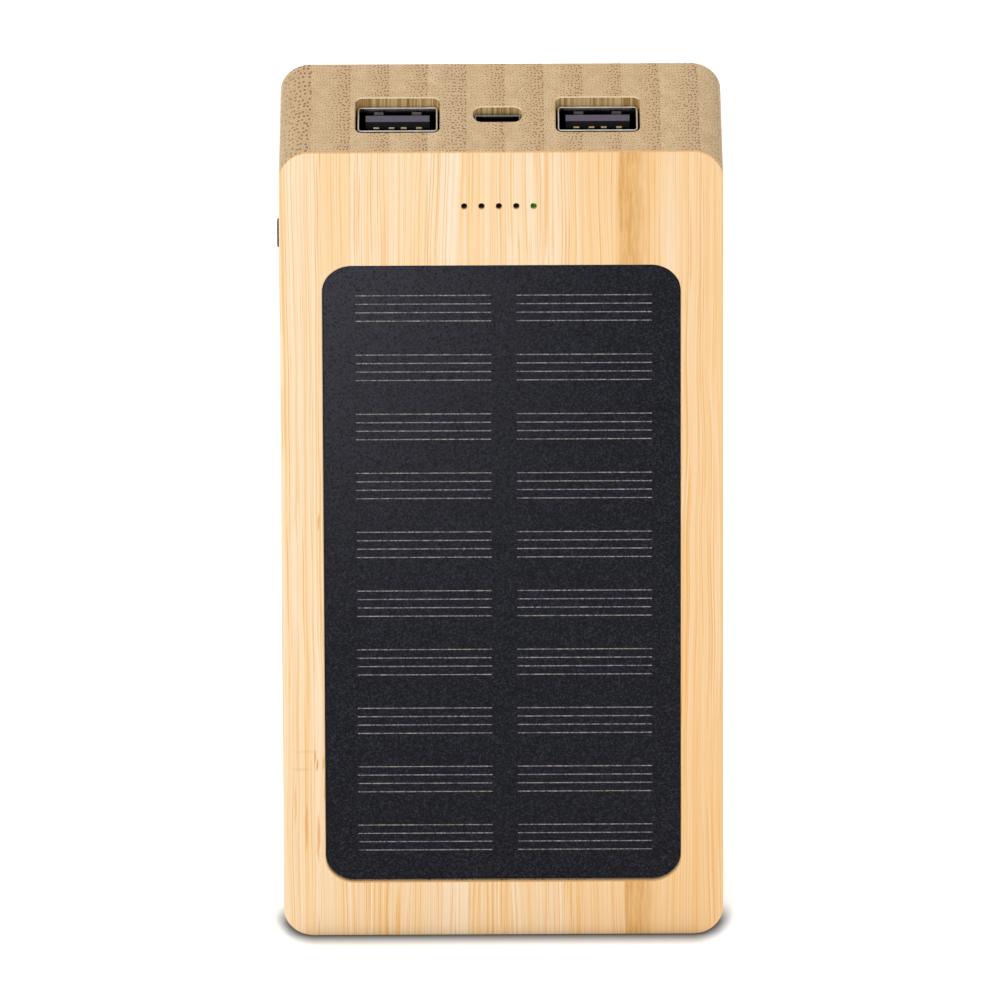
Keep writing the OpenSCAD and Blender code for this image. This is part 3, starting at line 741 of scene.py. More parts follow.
@dataclass(frozen=True)
class Finish:
    """A surface finish that makes one material and keeps it."""

    name: str

    def material(self) -> bpy.types.Material:
        """Finds the finish's material, or makes it the first time.

        Returns:
            The material.
        """
        found = bpy.data.materials.get("finish_" + self.name)
        if found:
            return found
        made = bpy.data.materials.new("finish_" + self.name)
        made.use_nodes = True
        made.node_tree.nodes.clear()
        graph = Graph(made.node_tree)
        surface = graph.node("BsdfPrincipled")
        graph.feed(graph.node("OutputMaterial").inputs["Surface"], surface.outputs[0])
        self.dress(graph, surface, graph.node("TexCoord"))
        return made

    def dress(self, graph: Graph, surface: bpy.types.Node, where: bpy.types.Node) -> None:
        """Feeds the Principled shader. Each finish has its own."""
        raise NotImplementedError

    @staticmethod
    def apply_group(graph: Graph, surface: bpy.types.Node, group: bpy.types.Node, depth: float,
                    strength: float = 1.0) -> None:
        """Feeds a group's colour, roughness and height to a Principled shader.

        Args:
            graph: The material's graph.
            surface: The Principled shader.
            group: The placed effect group.
            depth: Depth of the relief in millimetres.
            strength: Strength of the relief.
        """
        graph.feed(surface.inputs["Base Color"], group.outputs["Colour"])
        graph.feed(surface.inputs["Roughness"], group.outputs["Roughness"])
        bump = graph.node("Bump")
        graph.feed(bump.inputs["Strength"], strength)
        graph.feed(bump.inputs["Distance"], depth * MM)
        graph.feed(bump.inputs["Height"], group.outputs["Height"])
        graph.feed(surface.inputs["Normal"], bump.outputs[0])


@dataclass(frozen=True)
class BambooFinish(Finish):
    """Sanded bamboo with a thin satin lacquer."""

    seed: float = 0.0
    relief: float = 0.012

    def dress(self, graph: Graph, surface: bpy.types.Node, where: bpy.types.Node) -> None:
        """Lays the bamboo pattern over the piece.

        Args:
            graph: The tree to add nodes to.
            surface: The Principled shader node.
            where: The Texture Coordinate node.
        """
        group = Bamboo().place(graph, Position=where.outputs["Object"], Facing=where.outputs["Normal"],
                               Seed=self.seed)
        self.apply_group(graph, surface, group, self.relief)
        surface.inputs["Specular IOR Level"].default_value = 0.2


@dataclass(frozen=True)
class MouldedFinish(Finish):
    """Plastic, rubber, foam or ceramic with a fine grain."""

    colour: Colour = (0.05, 0.05, 0.05)
    roughness: float = 0.5
    grain: float = 0.25
    change: float = 0.15
    relief: float = 0.01
    coat: float = 0.0

    def dress(self, graph: Graph, surface: bpy.types.Node, where: bpy.types.Node) -> None:
        """Lays fine grain over one colour.

        Args:
            graph: The tree to add nodes to.
            surface: The Principled shader node.
            where: The Texture Coordinate node.
        """
        group = FineGrain().place(graph, Position=where.outputs["Object"], Grain_Size=self.grain,
                                  Colour=self.colour, Colour_Change=self.change, Roughness=self.roughness)
        self.apply_group(graph, surface, group, self.relief)
        surface.inputs["Coat Weight"].default_value = self.coat
        surface.inputs["Specular IOR Level"].default_value = 0.25


@dataclass(frozen=True)
class TongueFinish(MouldedFinish):
    """Dark moulding with a painted sheen that greys its tip."""

    tip: float = 143.7
    # Grey of the painted sheen on the tip.
    painted_sheen: Colour = shade(88, 82, 98)

    def dress(self, graph: Graph, surface: bpy.types.Node, where: bpy.types.Node) -> None:
        """Lays fine grain over the moulding and greys its tip with a painted sheen.

        Args:
            graph: The tree to add nodes to.
            surface: The Principled shader node.
            where: The Texture Coordinate node.
        """
        super().dress(graph, surface, where)
        _, _, z = graph.split(graph.scaled(where.outputs["Object"], 1.0 / MM))
        grained = surface.inputs["Base Color"].links[0].from_socket
        # Painted sheen: the tongue's tip turns grey.
        worn = graph.ramp(z, self.tip - 0.12, self.tip - 0.03)
        graph.feed(surface.inputs["Base Color"], graph.mix(worn, grained, self.painted_sheen))


@dataclass(frozen=True)
class MetalFinish(Finish):
    """Drawn, rolled or plated metal."""

    colour: Colour = (0.7, 0.7, 0.7)
    roughness: float = 0.28
    along: tuple[float, float, float] = (0.02, 1.0, 1.0)
    line: float = 0.08
    relief: float = 0.002

    def dress(self, graph: Graph, surface: bpy.types.Node, where: bpy.types.Node) -> None:
        """Lays drawn lines over one metal colour.

        Args:
            graph: The tree to add nodes to.
            surface: The Principled shader node.
            where: The Texture Coordinate node.
        """
        group = DrawnLines().place(graph, Position=where.outputs["Object"], Along=self.along,
                                   Line_Width=self.line, Colour=self.colour, Roughness=self.roughness)
        self.apply_group(graph, surface, group, self.relief)
        surface.inputs["Metallic"].default_value = 1.0


@dataclass(frozen=True)
class SocketSteelFinish(MetalFinish):
    """Bright rim of a socket's shell, darkened inside it by painted shade."""

    rim: float = 144.5
    depth: float = 0.9
    # Colour of the painted shade inside the shell.
    inner: Colour = (0.02, 0.018, 0.018)

    def dress(self, graph: Graph, surface: bpy.types.Node, where: bpy.types.Node) -> None:
        """Lays drawn lines over the shell and darkens it below its rim with painted shade.

        Args:
            graph: The tree to add nodes to.
            surface: The Principled shader node.
            where: The Texture Coordinate node.
        """
        super().dress(graph, surface, where)
        _, _, z = graph.split(graph.scaled(where.outputs["Object"], 1.0 / MM))
        drawn = surface.inputs["Base Color"].links[0].from_socket
        # Painted shade: the steel darkens below the rim, to near black.
        shell_shade_mask = graph.ramp(z, self.rim - 0.18, self.rim - self.depth)
        _, _, up = graph.split(where.outputs["Normal"])
        # Faces that look up, such as the leaves' top edges, keep more brightness: a painted highlight.
        edge = graph.ramp(up, 0.5, 0.8, 1.0, 0.35)
        shell_shade_mask = graph.times(graph.times(shell_shade_mask, edge), 0.96)
        graph.feed(surface.inputs["Base Color"], graph.mix(shell_shade_mask, drawn, self.inner))
        surface.inputs["Metallic"].default_value = 1.0


@dataclass(frozen=True)
class LitFinish(Finish):
    """A light's clear resin, dark or lit."""

    colour: Colour = (0.8, 0.85, 0.75)
    glow: float = 0.0

    def dress(self, graph: Graph, surface: bpy.types.Node, where: bpy.types.Node) -> None:
        """Lays milky resin with fine grain over the light, and makes it glow in the resin's colour.

        Args:
            graph: The tree to add nodes to.
            surface: The Principled shader node.
            where: The Texture Coordinate node.
        """
        group = FineGrain().place(graph, Position=where.outputs["Object"], Grain_Size=0.2,
                                  Colour=self.colour, Colour_Change=0.12, Roughness=0.25)
        self.apply_group(graph, surface, group, 0.003)
        graph.feed(surface.inputs["Emission Color"], group.outputs["Colour"])
        surface.inputs["Emission Strength"].default_value = self.glow


@dataclass(frozen=True)
class FilmFinish(Finish):
    """Matt sparkling film of the panel, with the cells' faint tint under it and a painted highlight at its
    upper left.
    """

    ground: Colour = shade(19, 21, 27)
    tint: Colour = shade(20, 20, 33)
    sparkle: Colour = shade(55, 55, 66)
    # Colour of the painted highlight at the film's upper left, in place of a reflection.
    painted_highlight: Colour = shade(72, 71, 79)
    pit: Colour = shade(11, 11, 15)
    rows: int = 10
    row_height: float = 4.71
    half_gap: float = 2.1

    def dress(self, graph: Graph, surface: bpy.types.Node, where: bpy.types.Node) -> None:
        """Lays fine sparkle over a dark ground, tints the space between each cell's silver lines, and paints
        a highlight that lightens the film towards its upper left.

        Args:
            graph: The tree to add nodes to.
            surface: The Principled shader node.
            where: The Texture Coordinate node.
        """
        place = graph.scaled(where.outputs["Object"], 1.0 / MM)
        x, _, z = graph.split(place)
        low, high = span("silver_lines")
        pitch = (high.z - low.z - self.row_height) / (self.rows - 1)
        in_row = graph.times(graph.math("FRACT", graph.math(
            "DIVIDE", graph.minus(z, low.z - 0.02), pitch)), pitch)
        mask = graph.ramp(in_row, self.row_height - 0.1, self.row_height + 0.1, 1.0, 0.0)
        middle = (low.x + high.x) / 2
        side = graph.unsigned(graph.minus(x, middle))
        mask = graph.times(mask, graph.within(side, self.half_gap, high.x - middle, 0.1))
        mask = graph.times(mask, graph.within(z, low.z, high.z, 0.1))
        fine = graph.noise(place, 3.4, 3.0, 0.7)
        finer = graph.noise(graph.vector("ADD", place, (31.0, 7.0, 3.0)), 9.0, 2.0, 0.6)
        slow = graph.noise(place, 0.25, 2.0)
        ground = graph.mix(graph.times(mask, 0.8), self.ground, self.tint)
        # Painted highlight: the film grows lighter towards its upper left, in place of a reflection.
        corner = graph.times(graph.ramp(z, 40.0, 150.0), graph.ramp(x, 30.0, -45.0))
        ground = graph.mix(graph.times(corner, 0.75), ground, self.painted_highlight)
        ground = graph.mix(graph.ramp(fine, 0.5, 0.68, 0.0, 0.8), ground, self.sparkle)
        ground = graph.mix(graph.ramp(finer, 0.58, 0.7, 0.0, 0.8), ground, self.sparkle)
        ground = graph.mix(graph.ramp(fine, 0.5, 0.36, 0.0, 0.8), ground, self.pit)
        graph.feed(surface.inputs["Base Color"], ground)
        graph.feed(surface.inputs["Roughness"], graph.ramp(slow, 0.3, 0.7, 0.46, 0.54))
        bump = graph.node("Bump")
        graph.feed(bump.inputs["Distance"], 0.02 * MM)
        graph.feed(bump.inputs["Height"], graph.plus(fine, finer))
        graph.feed(surface.inputs["Normal"], bump.outputs[0])
        surface.inputs["Specular IOR Level"].default_value = 0.06


@dataclass(frozen=True)
class PrintedLineFinish(Finish):
    """Silver print seen through the matt film, broken by its grain."""

    bright: Colour = shade(168, 160, 154)
    dim: Colour = shade(62, 60, 68)

    def dress(self, graph: Graph, surface: bpy.types.Node, where: bpy.types.Node) -> None:
        """Breaks a silver line into brighter and dimmer grains.

        Args:
            graph: The tree to add nodes to.
            surface: The Principled shader node.
            where: The Texture Coordinate node.
        """
        place = graph.scaled(where.outputs["Object"], 1.0 / MM)
        grain = graph.noise(place, 3.2, 3.0, 0.7)
        wear = graph.noise(place, 0.5, 2.0)
        lit = graph.times(graph.ramp(grain, 0.34, 0.66), graph.ramp(wear, 0.25, 0.6, 0.55, 1.0))
        graph.feed(surface.inputs["Base Color"], graph.mix(lit, self.dim, self.bright))
        graph.feed(surface.inputs["Roughness"], graph.ramp(grain, 0.3, 0.7, 0.6, 0.45))
        surface.inputs["Specular IOR Level"].default_value = 0.2


@dataclass(frozen=True)
class StudioFinish(Finish):
    """Pale top of the studio's light table, which glows a little from below."""

    colour: Colour = (0.8, 0.8, 0.8)
    # Colour of the painted shadow round the case's foot.
    shaded: Colour = (0.12, 0.12, 0.12)
    glow: float = 0.6
    reach: float = 3.0
    corner: float = 5.5
    side_start: float = 2.0
    side_end: float = 8.0

    def dress(self, graph: Graph, surface: bpy.types.Node, where: bpy.types.Node) -> None:
        """Gives the floor one matt pale colour and an even glow, with a painted shadow close round the
        case's foot.

        Args:
            graph: The tree to add nodes to.
            surface: The Principled shader node.
            where: The Texture Coordinate node.
        """
        x, y, _ = graph.split(graph.scaled(where.outputs["Object"], 1.0 / MM))
        low, high = span("bamboo_body")
        beyond_x = graph.math("MAXIMUM", graph.minus(graph.unsigned(x), high.x - self.corner), 0.0)
        beyond_y = graph.math("MAXIMUM", graph.minus(graph.unsigned(y), high.y - self.corner), 0.0)
        squares = graph.plus(graph.times(beyond_x, beyond_x), graph.times(beyond_y, beyond_y))
        away = graph.minus(graph.math("SQRT", squares), self.corner)
        front = graph.ramp(y, low.y + self.side_start, low.y + self.side_end, 1.0, 0.1)
        back = graph.times(graph.ramp(y, high.y - self.side_end, high.y - self.side_start),
                           graph.ramp(graph.unsigned(x), high.x - 3.0, high.x - 8.0))
        # Painted shadow: colour and glow fall away close round the foot, mostly in front of it, and behind
        # it only between the corners.
        near = graph.times(graph.ramp(away, -0.5, self.reach, 1.0, 0.0), graph.math("MAXIMUM", front, back))
        clear = graph.minus(1.0, near)
        graph.feed(surface.inputs["Base Color"], graph.mix(clear, self.shaded, self.colour))
        graph.feed(surface.inputs["Emission Color"], graph.mix(clear, (0.0, 0.0, 0.0), (1.0, 1.0, 1.0)))
        surface.inputs["Emission Strength"].default_value = self.glow
        surface.inputs["Roughness"].default_value = 0.9
        surface.inputs["Specular IOR Level"].default_value = 0.0


class Finishes:
    """Every finish on the power bank, by what it is."""

    bamboo = BambooFinish("bamboo", 0.0)
    bamboo_cover = BambooFinish("bamboo_cover", 11.0)
    film = FilmFinish("panel_film")
    printed_line = PrintedLineFinish("printed_line")
    socket_steel = SocketSteelFinish("socket_steel", (1.0, 0.97, 0.93), 0.32, (1.0, 1.0, 0.03), 0.05)
    micro_steel = SocketSteelFinish("micro_steel", (0.34, 0.33, 0.32), 0.35, (1.0, 1.0, 0.03), 0.05,
                                    rim=145.3, depth=0.5)
    screw_steel = MetalFinish("screw_steel", (0.55, 0.55, 0.57), 0.32, (1.0, 1.0, 1.0), 0.3)
    solder = MetalFinish("solder", (0.72, 0.72, 0.73), 0.25, (1.0, 1.0, 1.0), 0.5)
    contact = MetalFinish("contact", (0.58, 0.41, 0.25), 0.6, (1.0, 1.0, 0.05), 0.1)
    nickel = MetalFinish("nickel", (0.68, 0.65, 0.58), 0.3, (0.05, 1.0, 1.0), 0.1)
    switch_metal = MetalFinish("switch_metal", (0.66, 0.67, 0.69), 0.3, (0.05, 1.0, 1.0), 0.1)
    copper = MetalFinish("copper", (0.78, 0.36, 0.16), 0.25, (1.0, 0.05, 1.0), 0.12)
    cell_foil = MetalFinish("cell_foil", (0.70, 0.71, 0.73), 0.42, (1.0, 1.0, 0.05), 0.4, 0.01)
    socket_plastic = TongueFinish("socket_plastic", shade(16, 14, 16), 0.5, 0.2, 0.12)
    black_plastic = MouldedFinish("black_plastic", shade(24, 23, 24), 0.5, 0.2, 0.12)
    button = MouldedFinish("button", shade(44, 32, 28), 0.35, 0.3, 0.18, 0.004)
    board = MouldedFinish("board", shade(24, 92, 52), 0.35, 0.6, 0.12, 0.004, 0.5)
    panel_backing = MouldedFinish("panel_backing", shade(24, 28, 36), 0.5, 0.4, 0.15)
    silicon = MouldedFinish("silicon", shade(26, 32, 58), 0.22, 0.8, 0.25, 0.002, 0.6)
    adhesive = MouldedFinish("adhesive", shade(36, 36, 38), 0.75, 0.6, 0.2, 0.02)
    red_lead = MouldedFinish("red_lead", shade(186, 30, 28), 0.4, 0.5, 0.1, 0.004)
    black_lead = MouldedFinish("black_lead", shade(28, 28, 30), 0.4, 0.5, 0.1, 0.004)
    chip = MouldedFinish("chip", shade(34, 34, 36), 0.6, 0.12, 0.2, 0.006)
    ferrite = MouldedFinish("ferrite", shade(58, 58, 62), 0.7, 0.2, 0.25, 0.01)
    capacitor = MouldedFinish("capacitor", shade(204, 156, 84), 0.45, 0.3, 0.12, 0.004)
    resistor = MouldedFinish("resistor", shade(30, 30, 33), 0.4, 0.2, 0.12, 0.003)
    cell_tape = MouldedFinish("cell_tape", shade(222, 214, 176), 0.6, 0.5, 0.1, 0.01)
    foam = MouldedFinish("foam", shade(74, 74, 78), 0.95, 0.45, 0.35, 0.08)
    light_off = LitFinish("light_off", shade(92, 92, 84))
    light_on = LitFinish("light_on", shade(1, 225, 2), 260.0)
    studio = StudioFinish("studio_floor")


# ---------------------------------------------------------------- meshes


class Lie(Enum):
    """Which way a loft's sections are stacked."""

    ALONG_Z = Matrix.Identity(4)
    ALONG_Y = Matrix(((1, 0, 0, 0), (0, 0, 1, 0), (0, 1, 0, 0), (0, 0, 0, 1)))
    ALONG_X = Matrix(((0, 0, 1, 0), (1, 0, 0, 0), (0, 1, 0, 0), (0, 0, 0, 1)))


@dataclass(frozen=True)
class Section:
    """One rounded rectangle of a loft: its size, corner radius, level and middle, in millimetres."""

    width: float
    height: float
    radius: float
    level: float
    middle: tuple[float, float] = (0.0, 0.0)

    @classmethod
    def circle(cls, radius: float, level: float, middle: tuple[float, float]) -> "Section":
        """Makes a round section."""
        return cls(2 * radius, 2 * radius, radius * ROUND, level, middle)

    def grown(self, by: float, level: float) -> "Section":
        """Returns the section made larger all round, at another level."""
        radius = max(self.radius + by, 0.01)
        return Section(self.width + 2 * by, self.height + 2 * by, radius, level, self.middle)


class Mesher:
    """Builds closed meshes with bmesh operators and turns them into objects."""

    corner_steps = 14

    def loft(self, bm: bmesh.types.BMesh, sections: Sequence[Section], closed: bool = False) -> None:
        """Skins a row of rounded rectangles, with caps or as a closed ring.

        Args:
            bm: The mesh to add to.
            sections: The sections, in order.
            closed: Whether the last section joins the first instead of both being capped.
        """
        rings = []
        for index, section in enumerate(sections):
            capped = not closed and index in (0, len(sections) - 1)
            x, y = section.middle
            half_w, half_h = section.width / 2, section.height / 2
            points = [(x + sx * half_w, y + sy * half_h) for sx, sy in ((-1, -1), (1, -1), (1, 1), (-1, 1))]
            rings.append(self.outline(bm, points, section.level, len(points), section.radius,
                                      self.corner_steps, capped))
        self.skin(bm, rings, closed)

    def outline(self, bm: bmesh.types.BMesh, points: Sequence[tuple[float, float]], level: float, cut: int,
                radius: float, steps: int, capped: bool = False) -> list[bmesh.types.BMEdge]:
        """Adds a flat outline with some of its corners rounded or cut.

        Args:
            bm: The mesh to add to.
            points: X and Y of the corners, in order.
            level: Level of the outline.
            cut: How many corners are rounded or cut, from the first.
            radius: Radius of the rounding.
            steps: Steps in each rounding, where 1 is a straight cut.
            capped: Whether the outline keeps its face.

        Returns:
            The outline's edges.
        """
        known = set(bm.edges)
        corners = [bm.verts.new((x, y, level)) for x, y in points]
        bm.faces.new(corners)
        self.bevel(bm, corners[:cut], radius, steps, "VERTICES")
        edges = [edge for edge in bm.edges if edge not in known]
        if not capped:
            faces = list({face for edge in edges for face in edge.link_faces})
            bmesh.ops.delete(bm, geom=faces, context="FACES_ONLY")
        return edges

    @staticmethod
    def skin(bm: bmesh.types.BMesh, rings: list[list[bmesh.types.BMEdge]], closed: bool) -> None:
        """Joins each outline to the next.

        Args:
            bm: The mesh that holds the outlines.
            rings: The edges of each outline.
            closed: Whether the last outline joins the first.
        """
        following = rings[1:] + (rings[:1] if closed else [])
        for first, second in zip(rings, following):
            bmesh.ops.bridge_loops(bm, edges=first + second)

    @staticmethod
    def bevel(bm: bmesh.types.BMesh, geom: Sequence[object], width: float, steps: int = 2,
              affect: str = "EDGES") -> None:
        """Bevels edges or corners to a round of the given width.

        Args:
            bm: The mesh that holds them.
            geom: The edges or corners.
            width: Width of the round.
            steps: Steps in the round, where 1 is a flat cut.
            affect: EDGES or VERTICES.
        """
        bmesh.ops.bevel(bm, geom=geom, offset=width, offset_type="OFFSET", profile=0.5, segments=steps,
                        affect=affect, material=-1)

    @staticmethod
    def rounding(section: Section, low: float, high: float, radius: float, low_radius: float | None = None,
                 steps: int = 4) -> list[Section]:
        """Gives the sections of a plate whose two rims are rounded.

        Args:
            section: The plate's full section.
            low: Lower level of the plate.
            high: Upper level of the plate.
            radius: Radius of the rounding at the upper rim.
            low_radius: Radius at the lower rim, or None for the same.
            steps: Steps in each quarter round.

        Returns:
            The sections from low to high.
        """
        small = radius if low_radius is None else low_radius
        turns = [math.pi / 2 * step / steps for step in range(steps + 1)]
        made = [section.grown(small * (math.sin(t) - 1), low + small * (1 - math.cos(t))) for t in turns]
        made += [section.grown(radius * (math.cos(t) - 1), high - radius * (1 - math.sin(t))) for t in turns]
        return made

    @staticmethod
    def bar(bm: bmesh.types.BMesh, low: Sequence[float], high: Sequence[float], bevel: float = 0.0) -> None:
        """Adds a box between two corners, with its edges bevelled where asked.

        Args:
            bm: The mesh to add to.
            low: Low corner in millimetres.
            high: High corner in millimetres.
            bevel: Width of the bevel, or 0.
        """
        low_v, high_v = Vector(low), Vector(high)
        made = bmesh.ops.create_cube(bm, size=1.0)
        bmesh.ops.scale(bm, verts=made["verts"], vec=high_v - low_v)
        bmesh.ops.translate(bm, verts=made["verts"], vec=(low_v + high_v) / 2)
        if bevel:
            edges = list({edge for vert in made["verts"] for edge in vert.link_edges})
            Mesher.bevel(bm, edges, bevel)

    @staticmethod
    def rod(bm: bmesh.types.BMesh, place: Sequence[float], radii: tuple[float, float],
            levels: tuple[float, float], lie: Lie = Lie.ALONG_Y, steps: int = 48) -> None:
        """Adds a round rod or cone along an axis.

        Args:
            bm: The mesh to add to.
            place: The two other coordinates of its axis, in millimetres.
            radii: Radius at the low and the high level.
            levels: Low and high level along the axis.
            lie: The axis.
            steps: Steps round the rod.
        """
        made = bmesh.ops.create_cone(bm, cap_ends=True, segments=steps, radius1=radii[0], radius2=radii[1],
                                     depth=levels[1] - levels[0])
        shift = Matrix.Translation((place[0], place[1], (levels[0] + levels[1]) / 2))
        bmesh.ops.transform(bm, matrix=lie.value @ shift, verts=made["verts"])

    @staticmethod
    def merge(bm: bmesh.types.BMesh, part: bmesh.types.BMesh, lie: Lie = Lie.ALONG_Z) -> None:
        """Adds a separately built part to a mesh, turned to lie along an axis.

        Args:
            bm: The mesh to add to.
            part: The part, which is freed.
            lie: Which way the part was built.
        """
        bmesh.ops.transform(part, matrix=lie.value, verts=part.verts)
        bmesh.ops.recalc_face_normals(part, faces=part.faces)
        mesh = bpy.data.meshes.new("part")
        part.to_mesh(mesh)
        part.free()
        bm.from_mesh(mesh)
        bpy.data.meshes.remove(mesh)

    @staticmethod
    def to_object(bm: bmesh.types.BMesh, name: str, lie: Lie = Lie.ALONG_Z) -> bpy.types.Object:
        """Turns a mesh in millimetres into a linked object in metres.

        Args:
            bm: The mesh, which is freed.
            name: Name of the object.
            lie: Which way the mesh was built.

        Returns:
            The object, at the origin.
        """
        bmesh.ops.transform(bm, matrix=Matrix.Scale(MM, 4) @ lie.value, verts=bm.verts)
        bmesh.ops.remove_doubles(bm, verts=bm.verts, dist=1e-7)
        bmesh.ops.recalc_face_normals(bm, faces=bm.faces)
        mesh = bpy.data.meshes.new(name)
        bm.to_mesh(mesh)
        bm.free()
        made = bpy.data.objects.new(name, mesh)
        bpy.context.scene.collection.objects.link(made)
        Mesher.smooth(made)
        return made

    @staticmethod
    def smooth(piece: bpy.types.Object) -> None:
        """Shades a piece smooth, with sharp edges where its faces turn."""
        piece.data.polygons.foreach_set("use_smooth", [True] * len(piece.data.polygons))
        piece.data.set_sharp_from_angle(angle=SMOOTH_ANGLE)

    @staticmethod
    def combine(base: bpy.types.Object, tool: bpy.types.Object, operation: str = "DIFFERENCE") -> None:
        """Cuts or joins one object with another, and removes the other.

        Args:
            base: The object that stays.
            tool: The object that cuts it or is joined to it.
            operation: DIFFERENCE or UNION.
        """
        modifier = base.modifiers.new("combine", "BOOLEAN")
        modifier.operation = operation
        modifier.solver = "EXACT"
        modifier.object = tool
        bpy.context.view_layer.update()
        shown = base.evaluated_get(bpy.context.evaluated_depsgraph_get())
        fresh = bpy.data.meshes.new_from_object(shown)
        base.modifiers.remove(modifier)
        worn = base.data
        base.data = fresh
        bpy.data.meshes.remove(worn)
        fresh.name = base.name
        bpy.data.objects.remove(tool)
        Mesher.smooth(base)


@dataclass
class SubAssembly:
    """A group of pieces that is built and dressed together."""

    body: str = CASE_BODY
    mesher: Mesher = field(default_factory=Mesher)

    def build(self) -> None:
        """Builds and dresses the group's pieces."""
        raise NotImplementedError

    def fit(self, piece: bpy.types.Object, finish: Finish, slot: str, *nodes: str) -> None:
        """Dresses a new piece and puts it in the place of the CAD nodes that it stands for.

        Args:
            piece: The new piece.
            finish: Its finish.
            slot: Name of a material slot; not used.
            *nodes: CAD nodes that it replaces.
        """
        piece.data.materials.clear()
        piece.data.materials.append(finish.material())
        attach(piece, self.body)
        if nodes:
            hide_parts(*nodes)
        LOG.info("%s: %d faces, %s", piece.name, len(piece.data.polygons), finish.name)

    def dress(self, finish: Finish, *nodes: str) -> None:
        """Gives CAD nodes that keep their shape a finish.

        Args:
            finish: The finish.
            *nodes: Names of the CAD nodes.
        """
        for node in nodes:
            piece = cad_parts[node]
            piece.data.materials.clear()
            piece.data.materials.append(finish.material())
            LOG.info("%s: CAD shape, %s", node, finish.name)


